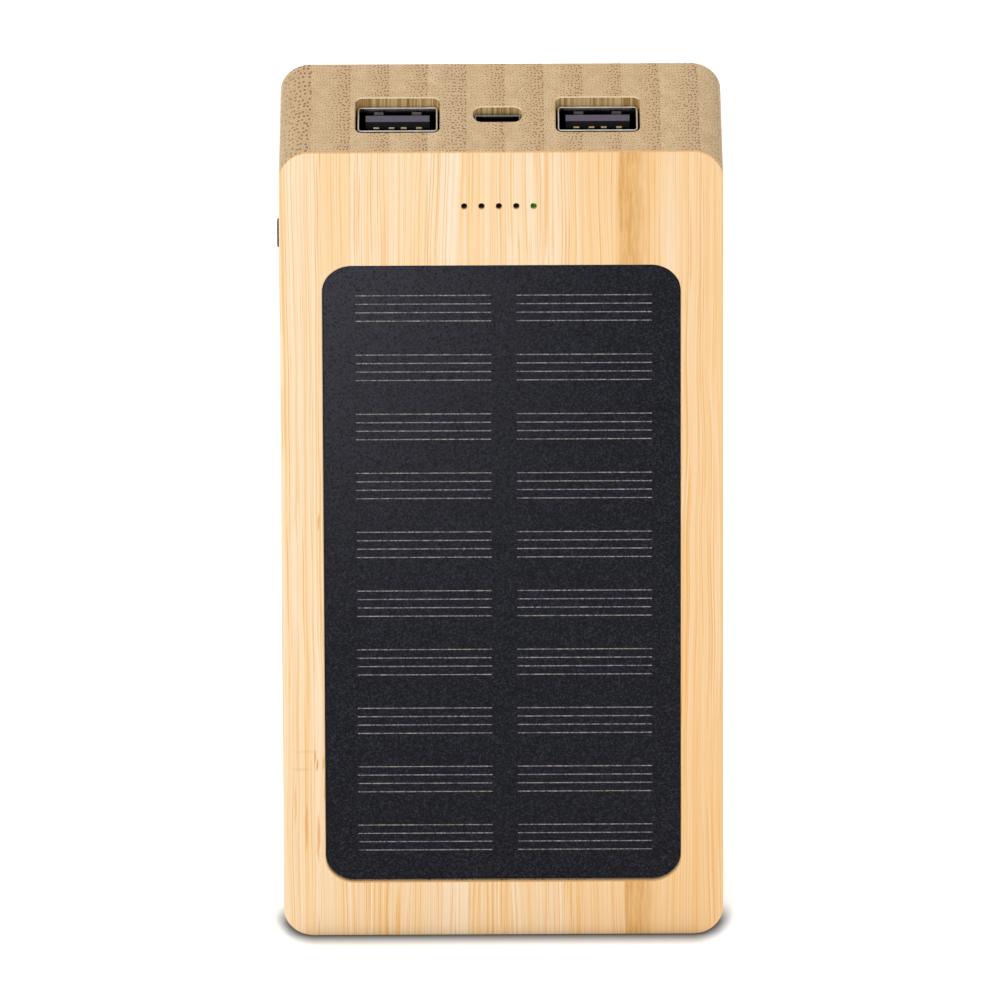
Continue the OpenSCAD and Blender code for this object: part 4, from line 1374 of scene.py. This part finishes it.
@dataclass
class BambooCase(SubAssembly):
    """The milled bamboo block and its back cover."""

    corner: float = 5.0
    rim: float = 0.22
    pocket_rim: float = 0.16
    pocket_corner: float = 4.9
    pocket_gap: float = 0.15
    hole_rim: float = 0.14
    bay_corner: float = 3.0
    cover_corner: float = 3.0
    cover_rim: float = 0.15
    cover_foot: float = 0.05
    cover_margin: float = 2.5
    seam: float = 0.15
    side_wall: float = 4.5
    bottom_wall: float = 6.0
    end_wall: float = 4.0
    front_wall: float = 3.5
    socket_corner: float = 1.2
    slot_corner: float = 1.5
    slot_lift: float = 0.42
    light_radius: float = 0.5
    light_flare: float = 0.08
    lead_radius: float = 0.45
    lead_hole: float = 2.0
    button_length: float = 4.8
    button_width: float = 2.4
    button_gap: float = 0.12
    button_rim: float = 0.1
    button_corner: float = 1.3
    screw_head: float = 1.9
    screw_hole: float = 1.15
    screw_seat: float = 2.05
    screw_mouth: float = 2.12
    seat_depth: float = 1.3
    post: float = 2.6
    board_screw_head: float = 1.6
    boss: float = 2.3
    post_root: float = 0.3

    def build(self) -> None:
        """Builds the block, cuts its bay, pocket and holes, and builds the cover."""
        low, high = span("bamboo_body")
        middle = (0.0, (low.z + high.z) / 2)
        outline = Section(high.x - low.x, high.z - low.z, self.corner, 0.0, middle)
        bm = bmesh.new()
        self.mesher.loft(bm, self.mesher.rounding(outline, low.y, high.y, self.rim))
        block = self.mesher.to_object(bm, "bamboo_case", Lie.ALONG_Y)
        self.mesher.combine(block, self._bay(low, high))
        self.mesher.combine(block, self._posts(), "UNION")
        self.mesher.combine(block, self._holes(low, high))
        self.fit(block, Finishes.bamboo, "bamboo", "bamboo_body")
        self.fit(self._cover(), Finishes.bamboo_cover, "bamboo_cover", "back_cover")
        self.dress(Finishes.screw_steel, "cover_screws")

    def _bay(self, low: Vector, high: Vector) -> bpy.types.Object:
        """Makes the cutter for the bay and the rebate that the cover sits in.

        Args:
            low: Low corner of the block.
            high: High corner of the block.

        Returns:
            The cutter.
        """
        bay_low = low.z + self.bottom_wall
        bay_high = high.z - self.end_wall
        bay = Section(high.x - low.x - 2 * self.side_wall, bay_high - bay_low, self.bay_corner, 0.0,
                      (0.0, (bay_low + bay_high) / 2))
        grow = self.seam - self.cover_margin
        rebate = Section(high.x - low.x, high.z - low.z, self.corner, 0.0, (0.0, (low.z + high.z) / 2))
        rebate = rebate.grown(grow, 0.0)
        cover_low, _ = span("back_cover")
        floor = low.y + self.front_wall
        bm = bmesh.new()
        self.mesher.loft(bm, [
            bay.grown(0.0, floor),
            bay.grown(0.0, cover_low.y),
            rebate.grown(0.0, cover_low.y),
            rebate.grown(0.0, high.y - self.hole_rim),
            rebate.grown(self.hole_rim, high.y),
            rebate.grown(self.hole_rim, high.y + BEYOND),
        ])
        return self.mesher.to_object(bm, "bay_cutter", Lie.ALONG_Y)

    def _posts(self) -> bpy.types.Object:
        """Makes the corner posts and the board's bosses.

        Returns:
            The posts and bosses as one object.
        """
        bm = bmesh.new()
        cover_low, _ = span("back_cover")
        board_low, _ = span("main_board")
        body_low, _ = span("bamboo_body")
        floor = body_low.y + self.front_wall - self.post_root
        for place in self._screw_places("cover_screws", self.screw_head):
            self.mesher.rod(bm, place, (self.post, self.post), (floor, cover_low.y))
        for place in self._screw_places("board_screws", self.board_screw_head):
            self.mesher.rod(bm, place, (self.boss, self.boss), (floor, board_low.y))
        return self.mesher.to_object(bm, "posts")

    @staticmethod
    def _screw_places(node: str, head: float) -> list[tuple[float, float]]:
        """Gives the X and Z of the four screws in a CAD node, from the radius of their heads."""
        low, high = span(node)
        return [(x, z) for x in (low.x + head, high.x - head) for z in (low.z + head, high.z - head)]

    def _holes(self, low: Vector, high: Vector) -> bpy.types.Object:
        """Makes the cutter for the panel's pocket and for the holes of the ports, lights, leads and button.

        Args:
            low: Low corner of the block.
            high: High corner of the block.

        Returns:
            The cutter.
        """
        bm = bmesh.new()
        self._pocket(bm, low)
        self._sockets(bm, high)
        self._lights(bm, low)
        self._small_holes(bm, low)
        return self.mesher.to_object(bm, "hole_cutter")

    def _pocket(self, bm: bmesh.types.BMesh, low: Vector) -> None:
        """Adds the pocket's cutter, with its chamfered rim.

        Args:
            bm: The mesh to add to.
            low: Low corner of the block.
        """
        panel_low, panel_high = span("panel_film")
        _, tape_high = span("panel_tape")
        section = Section(panel_high.x - panel_low.x + 2 * self.pocket_gap,
                          panel_high.z - panel_low.z + 2 * self.pocket_gap, self.pocket_corner, 0.0,
                          (0.0, (panel_low.z + panel_high.z) / 2))
        part = bmesh.new()
        self.mesher.loft(part, [
            section.grown(self.pocket_rim, low.y - BEYOND),
            section.grown(self.pocket_rim, low.y),
            section.grown(0.0, low.y + self.pocket_rim),
            section.grown(0.0, tape_high.y),
        ])
        self.mesher.merge(bm, part, Lie.ALONG_Y)

    def _sockets(self, bm: bmesh.types.BMesh, high: Vector) -> None:
        """Adds the cutters for the two USB-A holes and the micro-USB slot.

        Args:
            bm: The mesh to add to.
            high: High corner of the block.
        """
        # Each socket's room: beside it, in front, behind, and the radius of the hole's corners.
        rooms = (
            ("usb_shell_left", 0.35, 2.15, 0.3, self.socket_corner),
            ("usb_shell_right", 0.35, 2.15, 0.3, self.socket_corner),
            ("micro_usb_shell", 0.25, 0.12, 1.08, self.slot_corner),
        )
        _, board_high = span("main_board")
        for node, side, front, back, corner in rooms:
            shell_low, shell_high = span(node)
            front_y = board_high.y if node.startswith("usb") else board_high.y + self.slot_lift
            y0, y1 = front_y - front, shell_high.y + back
            section = Section(shell_high.x - shell_low.x + 2 * side, y1 - y0, corner, 0.0,
                              ((shell_low.x + shell_high.x) / 2, (y0 + y1) / 2))
            part = bmesh.new()
            self.mesher.loft(part, [
                section.grown(0.0, high.z - self.end_wall - BEYOND),
                section.grown(0.0, high.z - self.hole_rim),
                section.grown(self.hole_rim, high.z),
                section.grown(self.hole_rim, high.z + BEYOND),
            ])
            self.mesher.merge(bm, part)

    def _lights(self, bm: bmesh.types.BMesh, low: Vector) -> None:
        """Adds the cutters for the holes over the charge lights, flared a little at the front.

        Args:
            bm: The mesh to add to.
            low: Low corner of the block.
        """
        wide = self.light_radius + self.light_flare
        for number in range(1, 6):
            light_low, light_high = span(f"led_{number}")
            place = ((light_low.x + light_high.x) / 2, (light_low.z + light_high.z) / 2)
            part = bmesh.new()
            self.mesher.loft(part, [
                Section.circle(wide, low.y - BEYOND, place),
                Section.circle(wide, low.y, place),
                Section.circle(self.light_radius, low.y + self.light_flare, place),
                Section.circle(self.light_radius, low.y + self.front_wall + BEYOND, place),
            ])
            self.mesher.merge(bm, part, Lie.ALONG_Y)

    def _small_holes(self, bm: bmesh.types.BMesh, low: Vector) -> None:
        """Adds the cutters for the panel leads and the side button.

        Args:
            bm: The mesh to add to.
            low: Low corner of the block.
        """
        lead_low, _ = span("panel_lead_red")
        _, tape_high = span("panel_tape")
        self.mesher.rod(bm, (0.0, lead_low.z + self.lead_radius), (self.lead_hole, self.lead_hole),
                        (tape_high.y + 0.01, low.y + self.front_wall + BEYOND))
        cap_low, cap_high = span("button_cap")
        middle = (cap_low + cap_high) / 2
        section = Section(self.button_width + 2 * self.button_gap, self.button_length + 2 * self.button_gap,
                          self.button_corner, 0.0, (middle.y, middle.z))
        part = bmesh.new()
        self.mesher.loft(part, [
            section.grown(self.button_rim, low.x - BEYOND),
            section.grown(self.button_rim, low.x),
            section.grown(0.0, low.x + self.button_rim),
            section.grown(0.0, low.x + self.side_wall + BEYOND),
        ])
        self.mesher.merge(bm, part, Lie.ALONG_X)

    def _cover(self) -> bpy.types.Object:
        """Builds the back cover with its countersunk screw holes.

        Returns:
            The cover.
        """
        low, high = span("back_cover")
        middle = (0.0, (low.z + high.z) / 2)
        outline = Section(high.x - low.x, high.z - low.z, self.cover_corner, 0.0, middle)
        bm = bmesh.new()
        self.mesher.loft(bm, self.mesher.rounding(outline, low.y, high.y, self.cover_rim, self.cover_foot))
        cover = self.mesher.to_object(bm, "bamboo_cover", Lie.ALONG_Y)
        bm = bmesh.new()
        for place in self._screw_places("cover_screws", self.screw_head):
            part = bmesh.new()
            self.mesher.loft(part, [
                Section.circle(self.screw_hole, low.y - BEYOND, place),
                Section.circle(self.screw_hole, high.y - self.seat_depth, place),
                Section.circle(self.screw_seat, high.y - 0.1, place),
                Section.circle(self.screw_mouth, high.y, place),
                Section.circle(self.screw_mouth, high.y + BEYOND, place),
            ])
            self.mesher.merge(bm, part, Lie.ALONG_Y)
        self.mesher.combine(cover, self.mesher.to_object(bm, "screw_cutter"))
        return cover


@dataclass
class SolarPanel(SubAssembly):
    """The panel in the case's front: film, silver lines, cells, backing and leads."""

    corner: float = 4.75
    film_rim: float = 0.1
    film_foot: float = 0.02
    rows: int = 10
    lines: int = 4
    line_pitch: float = 1.57
    line_width: float = 0.17
    line_proud: float = 0.012
    line_sunk: float = 0.05
    line_inset: float = 0.1
    column_gap: float = 4.2

    def build(self) -> None:
        """Builds the film and the silver lines, and dresses what lies under them."""
        low, high = span("panel_film")
        outline = Section(high.x - low.x, high.z - low.z, self.corner, 0.0, (0.0, (low.z + high.z) / 2))
        bm = bmesh.new()
        sections = self.mesher.rounding(outline, low.y, high.y, self.film_foot, self.film_rim)
        self.mesher.loft(bm, sections)
        self.fit(self.mesher.to_object(bm, "film", Lie.ALONG_Y), Finishes.film, "panel_film", "panel_film")
        self.fit(self._lines(low.y), Finishes.printed_line, "silver_line", "silver_lines")
        self.dress(Finishes.silicon, "solar_cells")
        self.dress(Finishes.panel_backing, "panel_board")
        self.dress(Finishes.adhesive, "panel_tape")
        self.dress(Finishes.red_lead, "panel_lead_red")
        self.dress(Finishes.black_lead, "panel_lead_black")

    def _lines(self, film_y: float) -> bpy.types.Object:
        """Builds the silver lines just proud of the film, so that they read through it.

        Args:
            film_y: Y of the film's front face.

        Returns:
            The lines.
        """
        low, high = span("silver_lines")
        middle = (low.x + high.x) / 2
        length = (high.x - low.x - self.column_gap) / 2
        half = self.line_width / 2
        group = self.line_pitch * (self.lines - 1)
        first = low.z + self.line_inset
        pitch = (high.z - low.z - 2 * self.line_inset - group) / (self.rows - 1)
        bm = bmesh.new()
        for row in range(self.rows):
            for line in range(self.lines):
                z = first + row * pitch + line * self.line_pitch
                for side in (-1, 1):
                    near = middle + side * self.column_gap / 2
                    far = near + side * length
                    self.mesher.bar(bm, (min(near, far), film_y - self.line_proud, z - half),
                                    (max(near, far), film_y + self.line_sunk, z + half))
        return self.mesher.to_object(bm, "grid_lines")


@dataclass
class UsbSocket(SubAssembly):
    """A USB-A socket: shell, tongue and contacts."""

    side: str = "left"
    sheet: float = 0.26
    corner: float = 0.6
    rim: float = 0.06
    board_y: float = -3.65
    leg_places: tuple[float, ...] = (3.5, 9.5)
    leg_reach: float = 1.9
    leg_half_width: float = 0.9
    leg_half_sheet: float = 0.15
    leaf_x: float = 3.1
    leaf_width: float = 1.8
    leaf_sheet: float = 0.2
    leaf_mouth: float = 0.75
    leaf_root: float = 6.1
    leaf_bow: float = 0.32
    leaf_taper: float = 0.15
    leaf_steps: int = 12
    block: float = 3.0
    tongue_depth: float = 1.84
    tongue_half_width: float = 5.25
    tip_slope: float = 0.46
    tip_drop: float = 0.5
    contact_places: tuple[float, ...] = (-3.5, -1.0, 1.0, 3.5)
    contact_half_width: float = 0.475
    contact_sheet: float = 0.3
    contact_root: float = 3.8
    tail_half_width: float = 0.3

    def build(self) -> None:
        """Builds the shell with its two spring leaves, and the tongue with its contacts."""
        self.fit(self._shell(), Finishes.socket_steel, "socket_steel", f"usb_shell_{self.side}")
        self.fit(self._tongue(), Finishes.socket_plastic, "socket_plastic", f"usb_tongue_{self.side}")
        self.fit(self._contacts(), Finishes.contact, "contact_metal", f"usb_contacts_{self.side}")

    def _shell(self) -> bpy.types.Object:
        """Builds the folded steel shell: a thin tube with a rounded rim, two leaves and four legs.

        Returns:
            The shell.
        """
        low, high = span(f"usb_shell_{self.side}")
        middle = ((low.x + high.x) / 2, (self.board_y + high.y) / 2)
        outer = Section(high.x - low.x, high.y - self.board_y, self.corner, 0.0, middle)
        inner = -self.sheet
        bm = bmesh.new()
        self.mesher.loft(bm, [
            outer.grown(0.0, low.z),
            outer.grown(0.0, high.z - self.rim),
            outer.grown(-self.rim, high.z),
            outer.grown(inner + self.rim, high.z),
            outer.grown(inner, high.z - self.rim),
            outer.grown(inner, low.z),
        ], closed=True)
        for s in (-1, 1):
            self._leaf(bm, middle[0] + s * self.leaf_x, high)
            x = middle[0] + s * (outer.width - self.sheet) / 2
            for z in self.leg_places:
                bottom, top = low.z + z - self.leg_half_width, low.z + z + self.leg_half_width
                self.mesher.bar(bm, (x - self.leg_half_sheet, self.board_y - self.leg_reach, bottom),
                                (x + self.leg_half_sheet, self.board_y + 0.25, top), 0.04)
        return self.mesher.to_object(bm, f"socket_shell_{self.side}")

    def _leaf(self, bm: bmesh.types.BMesh, x: float, high: Vector) -> None:
        """Adds a spring leaf that bows in from the shell's back wall.

        Args:
            bm: The mesh to add to.
            x: X of the leaf's middle.
            high: High corner of the shell.
        """
        made = bmesh.ops.create_grid(bm, x_segments=2, y_segments=self.leaf_steps, size=0.5)
        verts = made["verts"]
        top, bottom = high.z - self.leaf_mouth, high.z - self.leaf_root
        back = high.y - self.sheet
        last = 1.0 - 0.5 / self.leaf_steps
        for vert in verts:
            along = vert.co.y + 0.5
            bow = self.leaf_bow * (math.sin(math.pi / 2 * along) ** 2 if along < last else 0.1)
            wide = self.leaf_width * (1.0 - self.leaf_taper * along)
            vert.co = Vector((x + vert.co.x * wide, back - bow, bottom + (top - bottom) * along))
        faces = list({face for vert in verts for face in vert.link_faces})
        bmesh.ops.solidify(bm, geom=faces, thickness=self.leaf_sheet)

    def _tongue(self) -> bpy.types.Object:
        """Builds the black insulator: block at the inner end, and a tongue with a sloped tip.

        Returns:
            The insulator.
        """
        low, high = span(f"usb_tongue_{self.side}")
        _, contacts_high = span(f"usb_contacts_{self.side}")
        front = contacts_high.y
        middle_x = (low.x + high.x) / 2
        bm = bmesh.new()
        self.mesher.bar(bm, (low.x, low.y, low.z), (high.x, high.y, low.z + self.block), 0.1)
        tongue = bmesh.new()
        self.mesher.bar(tongue, (middle_x - self.tongue_half_width, front, low.z + self.block - 0.2),
                        (middle_x + self.tongue_half_width, front + self.tongue_depth, high.z))
        front_edge = [edge for edge in tongue.edges
                      if all(abs(v.co.y - front) < 1e-4 and abs(v.co.z - high.z) < 1e-4 for v in edge.verts)]
        self.mesher.bevel(tongue, front_edge, self.tip_slope, 1)
        lowered = [v for v in tongue.verts if abs(v.co.y - front) < 1e-4
                   and abs(v.co.z - (high.z - self.tip_slope)) < 1e-3]
        bmesh.ops.translate(tongue, verts=lowered, vec=(0.0, 0.0, -self.tip_drop))
        rest = [edge for edge in tongue.edges
                if len(edge.link_faces) == 2 and edge.calc_face_angle(0.0) > 0.5]
        self.mesher.bevel(tongue, rest, 0.06)
        self.mesher.merge(bm, tongue)
        return self.mesher.to_object(bm, f"socket_tongue_{self.side}")

    def _contacts(self) -> bpy.types.Object:
        """Builds the four contact strips with rounded tips, and their tails.

        Returns:
            The contacts.
        """
        low, high = span(f"usb_contacts_{self.side}")
        middle_x = (low.x + high.x) / 2
        bm = bmesh.new()
        sheet = self.contact_sheet
        for offset in self.contact_places:
            x = middle_x + offset
            strip, tail = self.contact_half_width, self.tail_half_width
            self.mesher.bar(bm, (x - strip, high.y - sheet, low.z + self.contact_root),
                            (x + strip, high.y, high.z + sheet), 0.04)
            self.mesher.bar(bm, (x - tail, self.board_y, low.z), (x + tail, high.y, low.z + sheet), 0.05)
        return self.mesher.to_object(bm, f"socket_contacts_{self.side}")


@dataclass
class MicroSocket(SubAssembly):
    """The micro-USB socket: bevelled shell, tongue and five contacts."""

    sheet: float = 0.25
    rim: float = 0.06
    cut: float = 0.75
    height: float = 2.3
    lift: float = 0.42
    board_y: float = -3.65
    foot_inset: float = 1.6
    foot_half_width: float = 0.5

    def build(self) -> None:
        """Builds the shell and dresses the tongue and contacts."""
        self.fit(self._shell(), Finishes.micro_steel, "socket_steel", "micro_usb_shell")
        self.dress(Finishes.black_plastic, "micro_usb_tongue")
        self.dress(Finishes.contact, "micro_usb_contacts")

    def _shell(self) -> bpy.types.Object:
        """Builds the shell as a tube with two corners cut and a rounded rim, on its feet.

        Returns:
            The shell.
        """
        low, high = span("micro_usb_shell")
        middle_x, half_width = (low.x + high.x) / 2, (high.x - low.x) / 2
        front, back = self.board_y + self.lift, self.board_y + self.lift + self.height
        levels = (
            (0.0, low.z),
            (0.0, high.z - self.rim),
            (-self.rim, high.z),
            (self.rim - self.sheet, high.z),
            (-self.sheet, high.z - self.rim),
            (-self.sheet, low.z),
        )
        bm = bmesh.new()
        rings = []
        for grow, level in levels:
            half, y0, y1 = half_width + grow, front - grow, back + grow
            points = [(middle_x + sx * half, y) for sx, y in ((-1, y0), (1, y0), (1, y1), (-1, y1))]
            rings.append(self.mesher.outline(bm, points, level, 2, self.cut, 1))
        self.mesher.skin(bm, rings, True)
        for s in (-1, 1):
            x = middle_x + s * (half_width - self.foot_inset)
            self.mesher.bar(bm, (x - self.foot_half_width, self.board_y, low.z + 0.2),
                            (x + self.foot_half_width, front + 0.1, low.z + 1.8), 0.05)
        return self.mesher.to_object(bm, "micro_shell")


@dataclass
class ChargeLights(SubAssembly):
    """The row of charge lights behind the small holes, the last one lit."""

    count: int = 5
    base: float = 0.3
    lens_inset: float = 0.25
    lens_round: float = 0.14

    def build(self) -> None:
        """Builds each light as a base with a rounded lens."""
        for number in range(1, self.count + 1):
            node = f"led_{number}"
            low, high = span(node)
            bm = bmesh.new()
            self.mesher.bar(bm, (low.x, high.y - self.base, low.z), (high.x, high.y, high.z), 0.04)
            self.mesher.bar(bm, (low.x, low.y, low.z + self.lens_inset),
                            (high.x, high.y - self.base + 0.02, high.z - self.lens_inset), self.lens_round)
            lit = number == self.count
            finish, slot = (Finishes.light_on, "led_green") if lit else (Finishes.light_off, "led_clear")
            self.fit(self.mesher.to_object(bm, f"charge_light_{number}"), finish, slot, node)


@dataclass
class SideButton(SubAssembly):
    """The button on the side with the plunger of its switch."""

    body: str = BUTTON_BODY
    length: float = 4.8
    width: float = 2.4
    crown: float = 0.28
    crown_steps: int = 5
    flange: float = 0.8
    flange_rim: float = 0.05

    def build(self) -> None:
        """Builds the cap with a crowned face, and dresses the plunger."""
        low, high = span("button_cap")
        middle = ((low.y + high.y) / 2, (low.z + high.z) / 2)
        face = Section(self.width, self.length, self.width / 2 * ROUND, 0.0, middle)
        flange = Section(high.y - low.y, high.z - low.z, (high.y - low.y) / 2 * ROUND, 0.0, middle)
        seat = high.x - self.flange
        bm = bmesh.new()
        turns = [math.pi / 2 * step / self.crown_steps for step in range(self.crown_steps + 1)]
        crown = [face.grown(self.crown * (math.sin(t) - 1), low.x + self.crown * 0.7 * (1 - math.cos(t)))
                 for t in turns]
        self.mesher.loft(bm, crown + [
            face.grown(0.0, seat),
            flange.grown(-self.flange_rim, seat),
            flange.grown(0.0, seat + self.flange_rim),
            flange.grown(0.0, high.x - self.flange_rim),
            flange.grown(-self.flange_rim, high.x),
        ])
        cap = self.mesher.to_object(bm, "button", Lie.ALONG_X)
        self.fit(cap, Finishes.button, "button_plastic", "button_cap")
        self.dress(Finishes.black_plastic, "switch_plunger")


@dataclass
class Electronics(SubAssembly):
    """The main board with what is soldered to it."""

    def build(self) -> None:
        """Dresses the board's pieces."""
        self.dress(Finishes.board, "main_board")
        self.dress(Finishes.screw_steel, "board_screws")
        self.dress(Finishes.solder, "solder_joints")
        self.dress(Finishes.switch_metal, "switch_body")
        self.dress(Finishes.ferrite, "power_inductor")
        self.dress(Finishes.copper, "inductor_coil")
        self.dress(Finishes.chip, "boost_chip", "charge_chip", "port_chip")
        self.dress(Finishes.capacitor, "capacitors")
        self.dress(Finishes.resistor, "resistors")


@dataclass
class Battery(SubAssembly):
    """The two pouch cells with their tabs, guard board, leads and foam."""

    def build(self) -> None:
        """Dresses the battery's pieces."""
        self.dress(Finishes.cell_foil, "battery_cell_front", "battery_cell_back")
        self.dress(Finishes.cell_tape, "cell_tape")
        self.dress(Finishes.nickel, "cell_tabs")
        self.dress(Finishes.board, "protection_board")
        self.dress(Finishes.red_lead, "battery_lead_red")
        self.dress(Finishes.black_lead, "battery_lead_black")
        self.dress(Finishes.foam, "foam_pad_front", "foam_pad_back", "foam_pad_end")


# ---------------------------------------------------------------- studio


@dataclass(frozen=True)
class Softbox:
    """A soft light: where it is, where it points, its size and its power."""

    name: str
    place: tuple[float, float, float]
    target: tuple[float, float, float]
    size: float
    power: float
    colour: Colour = (1.0, 1.0, 1.0)


@dataclass(frozen=True)
class Studio:
    """Pale floor, soft lights and the camera.

    The camera has a long lens, and its plane is swung towards the upright case as on a view camera, so the
    front keeps its height while the camera looks down on the end.
    """

    elevation: float = math.radians(39.52)
    plane_tilt: float = math.radians(10.71)
    azimuth: float = math.radians(-0.069)
    roll: float = math.radians(-0.207)
    distance: float = 2.107
    framed: float = 0.16491
    aim: tuple[float, float, float] = (-0.00033, 0.0, 0.07297)
    floor_size: float = 40.0
    floor_drop: float = 0.00002
    sensor: float = 36.0
    ambient: float = 0.45
    softboxes: tuple[Softbox, ...] = (
        Softbox("key", (-0.5, -1.15, 0.8), (0.0, 0.0, 0.08), 0.6, 4.9),
        Softbox("top", (-0.05, 0.1, 1.1), (0.0, 0.0, 0.1), 0.5, 5.4),
    )

    def build(self) -> None:
        """Sets up the floor, the lights, the surroundings and the camera."""
        self._floor()
        self._lights()
        self._surroundings()
        self._camera()

    def _floor(self) -> None:
        """Lays the pale floor at the case's lower end."""
        bm = bmesh.new()
        bmesh.ops.create_grid(bm, x_segments=1, y_segments=1, size=self.floor_size / 2)
        bmesh.ops.translate(bm, verts=bm.verts, vec=(0.0, 0.0, CAD_BOUNDS[0][2] - self.floor_drop))
        mesh = bpy.data.meshes.new("floor")
        bm.to_mesh(mesh)
        bm.free()
        floor = bpy.data.objects.new("floor", mesh)
        bpy.context.scene.collection.objects.link(floor)
        floor.data.materials.append(Finishes.studio.material())

    def _lights(self) -> None:
        """Hangs the softboxes."""
        for box in self.softboxes:
            light = bpy.data.lights.new(box.name, "AREA")
            light.shape = "SQUARE"
            light.size = box.size
            light.energy = box.power
            light.color = box.colour
            lamp = bpy.data.objects.new(box.name, light)
            lamp.location = box.place
            aim = Vector(box.target) - Vector(box.place)
            lamp.rotation_euler = aim.to_track_quat("-Z", "Y").to_euler()
            bpy.context.scene.collection.objects.link(lamp)

    def _surroundings(self) -> None:
        """Fills the studio with even white light, before a backdrop as pale as the floor."""
        world = bpy.data.worlds.new("studio")
        world.use_nodes = True
        background = world.node_tree.nodes["Background"]
        background.inputs["Color"].default_value = (1.0, 1.0, 1.0, 1.0)
        graph = Graph(world.node_tree)
        seen = graph.node("LightPath").outputs["Is Camera Ray"]
        strength = graph.math("MULTIPLY_ADD", seen, 1.0 - self.ambient, self.ambient)
        graph.feed(background.inputs["Strength"], strength)
        bpy.context.scene.world = world
        bpy.context.scene.view_settings.view_transform = "Standard"

    def _camera(self) -> None:
        """Places the camera. Its plane is sheared through an empty that carries it."""
        along = Vector((math.sin(self.azimuth) * math.cos(self.elevation),
                        -math.cos(self.azimuth) * math.cos(self.elevation), math.sin(self.elevation)))
        right = Vector((math.cos(self.azimuth), math.sin(self.azimuth), 0.0))
        up = Vector((-math.sin(self.azimuth) * math.sin(self.plane_tilt),
                     math.cos(self.azimuth) * math.sin(self.plane_tilt), math.cos(self.plane_tilt)))
        turned_right = (right * math.cos(self.roll) + up * math.sin(self.roll)).normalized()
        turned_up = (up * math.cos(self.roll) - right * math.sin(self.roll)).normalized()
        place = Vector(self.aim) + along * self.distance
        shear = Matrix((turned_right, turned_up, along)).transposed().to_4x4()
        shear.translation = place
        camera = bpy.data.cameras.new("camera")
        camera.sensor_width = self.sensor
        camera.lens = self.sensor * self.distance / self.framed
        camera.clip_start = 0.01
        camera.clip_end = 100.0
        holder = bpy.data.objects.new("camera_swing", None)
        shown = bpy.data.objects.new("camera", camera)
        bpy.context.scene.collection.objects.link(holder)
        bpy.context.scene.collection.objects.link(shown)
        shown.parent = holder
        shown.matrix_parent_inverse = shear
        bpy.context.scene.camera = shown


def main() -> None:
    """Builds the studio, then each sub-assembly in turn."""
    logging.basicConfig(level=logging.INFO, format="%(name)s %(message)s", stream=sys.stdout)
    Studio().build()
    parts: Iterable[SubAssembly] = (
        BambooCase(), SolarPanel(), UsbSocket(side="left"), UsbSocket(side="right"), MicroSocket(),
        ChargeLights(), SideButton(), Electronics(), Battery(),
    )
    for part in parts:
        part.build()


if __name__ == "__main__":
    main()
